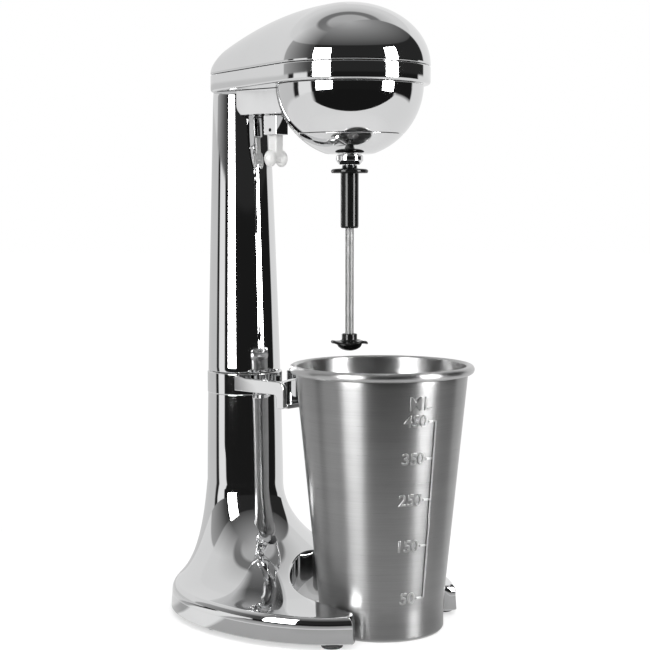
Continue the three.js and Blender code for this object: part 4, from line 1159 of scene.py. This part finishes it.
def build_gland():
    r, out, _ = limits("cable_gland")[1]
    centre_z = middle("cable_gland")[2]
    profile = [(1.6, -6.3), (2.9, -6.3), (2.9, -1.2), (r, -1.2), (r, -0.35, 0.5), (3.2, 0, 0.5),
               (2.2, 0, 0.4), (1.6, -0.8)]
    verts, faces = turned(rounded(profile, 0.15, closed=True), (0.0, centre_z), 64, closed=True)
    inlet = [(x, out + depth, z) for x, z, depth in verts], faces
    weigh_normals(make("cable_inlet", "cable_gland", inlet, STAND_BLACK))


# ---- stage: camera, floor and light ----
CAMERA_BACK = (-599.2, -587.2)       # from the column's axis
CAMERA_HEIGHT = 219.9
CAMERA_AZIMUTH = -48.65
CAMERA_PITCH = -4.57
LENS = 83.08
SIN_TURN = math.sin(math.radians(CAMERA_AZIMUTH))
COS_TURN = math.cos(math.radians(CAMERA_AZIMUTH))

TABLE_FAR = 6.0
TABLE_FRONT = 0.28
# the table's glow as reflections see it, painted dimmer than what the camera sees
TABLE_GLOW = 0.84
TABLE_WHITE = 1.02          # what the camera sees of its glow
GRAZING = (0.73, 0.79)      # facing values between which the table goes over to a painted reflection of the room
GLOW_FADE = (0.12, 0.3)     # distances over which the glow's share rises from half to all

# degrees round from the camera's direction, positive to its right: start, end, brightness; low for the column
# and the cup, high for the head
ROOM_LOW = [(-180, -100, 0.66), (-96, -88, 0.02), (-86, -64, 0.95), (-62, 110, 0.012), (113, 180, 0.85)]
ROOM_HIGH = [(-180, -109, 0.82), (-107, -107, 0.42), (-61, -57, 0.07), (-55, 126, 0.025), (128, 180, 0.88)]
# the same degrees and a level: the camera side's share of the ceiling, and the brightness below the table
CAMERA_SIDE = [(-112, 0.0), (-52, 1.0), (126, 1.0), (128.5, 0.0)]
UNDER = [(-66, 0.85), (-60, 0.01), (72, 0.01), (76, 0.85)]
# elevation in degrees and brightness
CEILING_FRONT = [(30, 0.05), (54, 0.2), (69, 0.3), (90, 0.5)]
CEILING_BACK = [(0, 0.82), (45, 0.78), (60, 0.6), (63, 0.2), (69, 0.2), (72, 0.5), (90, 0.5)]
# elevations between which one level goes over into the next
UNDER_EDGE = (-14.0, -12.0)
HEAD_BAND = (4.25, 4.6)
CEILING_EDGE = (33.0, 34.5)

# upright light strips: start and end round from the camera's direction, distance, brightness
STRIP_HEIGHTS = (0.05, 0.86)
STRIPS = {"left_strip": (-53.6, -27.6, 1.13, 15), "right_strip": (50.5, 69.5, 1.1, 18)}
# lamps: place, target, size, power
LAMPS = {
    "overhead": ((0.1, -0.1, 1.4), (0, 0, 0), 1.6, 16),
    "camera_left": ((-1.3, -0.7, 0.6), (0, 0, 0.15), 1.2, 20),
    "camera_right": ((0.2, -1.4, 0.6), (0, 0, 0.15), 1.2, 16),
}


def make_camera():
    data = set_up(bpy.data.cameras.new("camera"), lens=LENS, sensor_width=36, clip_start=0.01, clip_end=20)
    back_x, back_y = CAMERA_BACK
    where = Vector((back_x, back_y + COLUMN_Y, CAMERA_HEIGHT)) * M
    turned = (math.radians(90 + CAMERA_PITCH), 0, math.radians(CAMERA_AZIMUTH))
    bpy.context.scene.camera = place("camera", data, location=where, rotation_euler=turned)


def towards_camera(ahead, right, up=0.0):
    """The place so far ahead (towards the camera) and to the camera's right of the spindle, in metres."""
    x = SIN_TURN * ahead + COS_TURN * right
    y = SPINDLE_Y * M - COS_TURN * ahead + SIN_TURN * right
    return x, y, up


def stage_sheet(name, corners, material):
    """A four-cornered sheet of the studio."""
    mesh = bpy.data.meshes.new(name)
    mesh.from_pydata(corners, [], [(0, 1, 2, 3)])
    mesh.materials.append(material)
    sheet = place(name, mesh)
    return sheet


def camera_degrees(tree, direction):
    """Degrees of a direction or a place round from the camera's direction."""
    ahead, right = [
        tree.add("VectorMath", [(0, direction), (1, axis)], operation="DOT_PRODUCT").outputs["Value"]
        for axis in ((SIN_TURN, -COS_TURN, 0.0), (COS_TURN, SIN_TURN, 0.0))]
    return tree.math("DEGREES", tree.math("ARCTAN2", right, ahead))


def make_floor():
    """A plain white table top that ends a little in front of the mixer and glows to white away from it.
    Reflections see it painted darker and dimmer, with a painted reflection of the room where they graze it.
    """
    far = TABLE_FAR
    places = ((-far, -far), (-far, far), (TABLE_FRONT, far), (TABLE_FRONT, -far))
    n = Nodes("table_white").set(Roughness=0.8, Specular_IOR_Level=0.0)
    # painted reflection of the room's walls, by where the point lies round from the camera's direction
    painted_room_sheen = n.levels(camera_degrees(n, n.coords), -180, 180, ROOM_LOW)
    grazing = n.ramp(n.add("LayerWeight", [("Blend", 0.5)]).outputs["Facing"], *GRAZING)
    seen = n.add("LightPath").outputs["Is Camera Ray"]
    # painted shade: reflections see the table's colour darker than the camera does
    n.link(n.mix(seen, grey(0.66), n.mix(n.noise(300, 2), grey(0.93), grey(0.95))), "Base Color")
    away = n.add("VectorMath", [(0, n.coords)], operation="LENGTH").outputs["Value"]
    painted_reflection = n.ramp(grazing, 0, 1, TABLE_GLOW, painted_room_sheen)
    glow = n.emission(n.ramp(seen, 0, 1, painted_reflection, TABLE_WHITE))
    share = n.ramp(away, *GLOW_FADE, 0.5, 1.0)
    surface = n.add("MixShader", [(0, share), (1, n.shader.outputs[0]), (2, glow)]).outputs[0]
    stage_sheet("floor", [towards_camera(a, r) for a, r in places], n.output(surface))


def make_strip(name, start, end, distance, level):
    """An upright light strip between two directions round from the camera's, seen only in reflections."""
    low, high = STRIP_HEIGHTS
    corners = []
    for degrees, z in ((start, low), (end, low), (end, high), (start, high)):
        angle = math.radians(degrees)
        corners.append(towards_camera(math.cos(angle) * distance, math.sin(angle) * distance, z))
    n = Nodes(name)
    glow = n.emission(n.ramp(n.noise(3, 2), 0.3, 0.7, level * 0.95, level * 1.05))
    strip = stage_sheet(name, corners, n.output(glow))
    set_up(strip, visible_camera=False, visible_diffuse=False, visible_shadow=False)


def make_world():
    """A studio as a panorama round the camera's direction: a dark camera side with a white strip, pale walls
    at the sides and behind, and a ceiling. What the camera sees directly is plain white."""
    world = bpy.data.worlds.new("studio")
    bpy.context.scene.world = world
    world.use_nodes = True
    world.node_tree.nodes.clear()
    n = Tree(world.node_tree)

    def between(factor, a, b):
        """a where the factor is 0, b where it is 1."""
        return n.math("ADD", a, n.math("MULTIPLY", factor, n.math("SUBTRACT", b, a)))

    direction = n.add("TexCoord").outputs["Generated"]
    up = n.add("SeparateXYZ", [(0, direction)]).outputs[2]
    elevation = n.math("DEGREES", n.math("ARCSINE", up))
    azimuth = camera_degrees(n, direction)

    low_walls, high_walls, camera_side, under = [
        n.levels(azimuth, -180, 180, places) for places in (ROOM_LOW, ROOM_HIGH, CAMERA_SIDE, UNDER)]
    ceiling_back, ceiling_front = [
        n.levels(elevation, 0, 90, places) for places in (CEILING_BACK, CEILING_FRONT)]
    walls = between(n.ramp(elevation, *HEAD_BAND), low_walls, high_walls)
    ceiling = between(camera_side, ceiling_back, ceiling_front)
    room = between(n.ramp(elevation, *CEILING_EDGE), walls, ceiling)
    room = between(n.ramp(elevation, *UNDER_EDGE), under, room)
    level = between(n.add("LightPath").outputs["Is Camera Ray"], room, 1.0)
    background = n.add("Background", [(0, level), (1, 1.0)]).outputs[0]
    n.add("OutputWorld", [(0, background)])


def make_lamp(name, where, target, size, power):
    data = set_up(bpy.data.lights.new(name, "AREA"), shape="DISK", size=size, energy=power)
    turned = (Vector(target) - Vector(where)).to_track_quat("-Z", "Y").to_euler()
    place(name, data, location=where, rotation_euler=turned, visible_glossy=False, visible_camera=False)


finish_cad_nodes()
for build in (build_base, build_column, build_cup_rest, build_cover, build_band, build_dome, build_neck,
              build_switch_box, build_lever, build_drive_nut, build_sleeve, build_rod, build_agitator,
              build_cup, build_scale, build_feet, build_gland):
    build()

make_camera()
make_floor()
make_world()
for strip_name, figures in STRIPS.items():
    make_strip(strip_name, *figures)
for lamp_name, figures in LAMPS.items():
    make_lamp(lamp_name, *figures)
bpy.context.scene.view_settings.view_transform = "Standard"
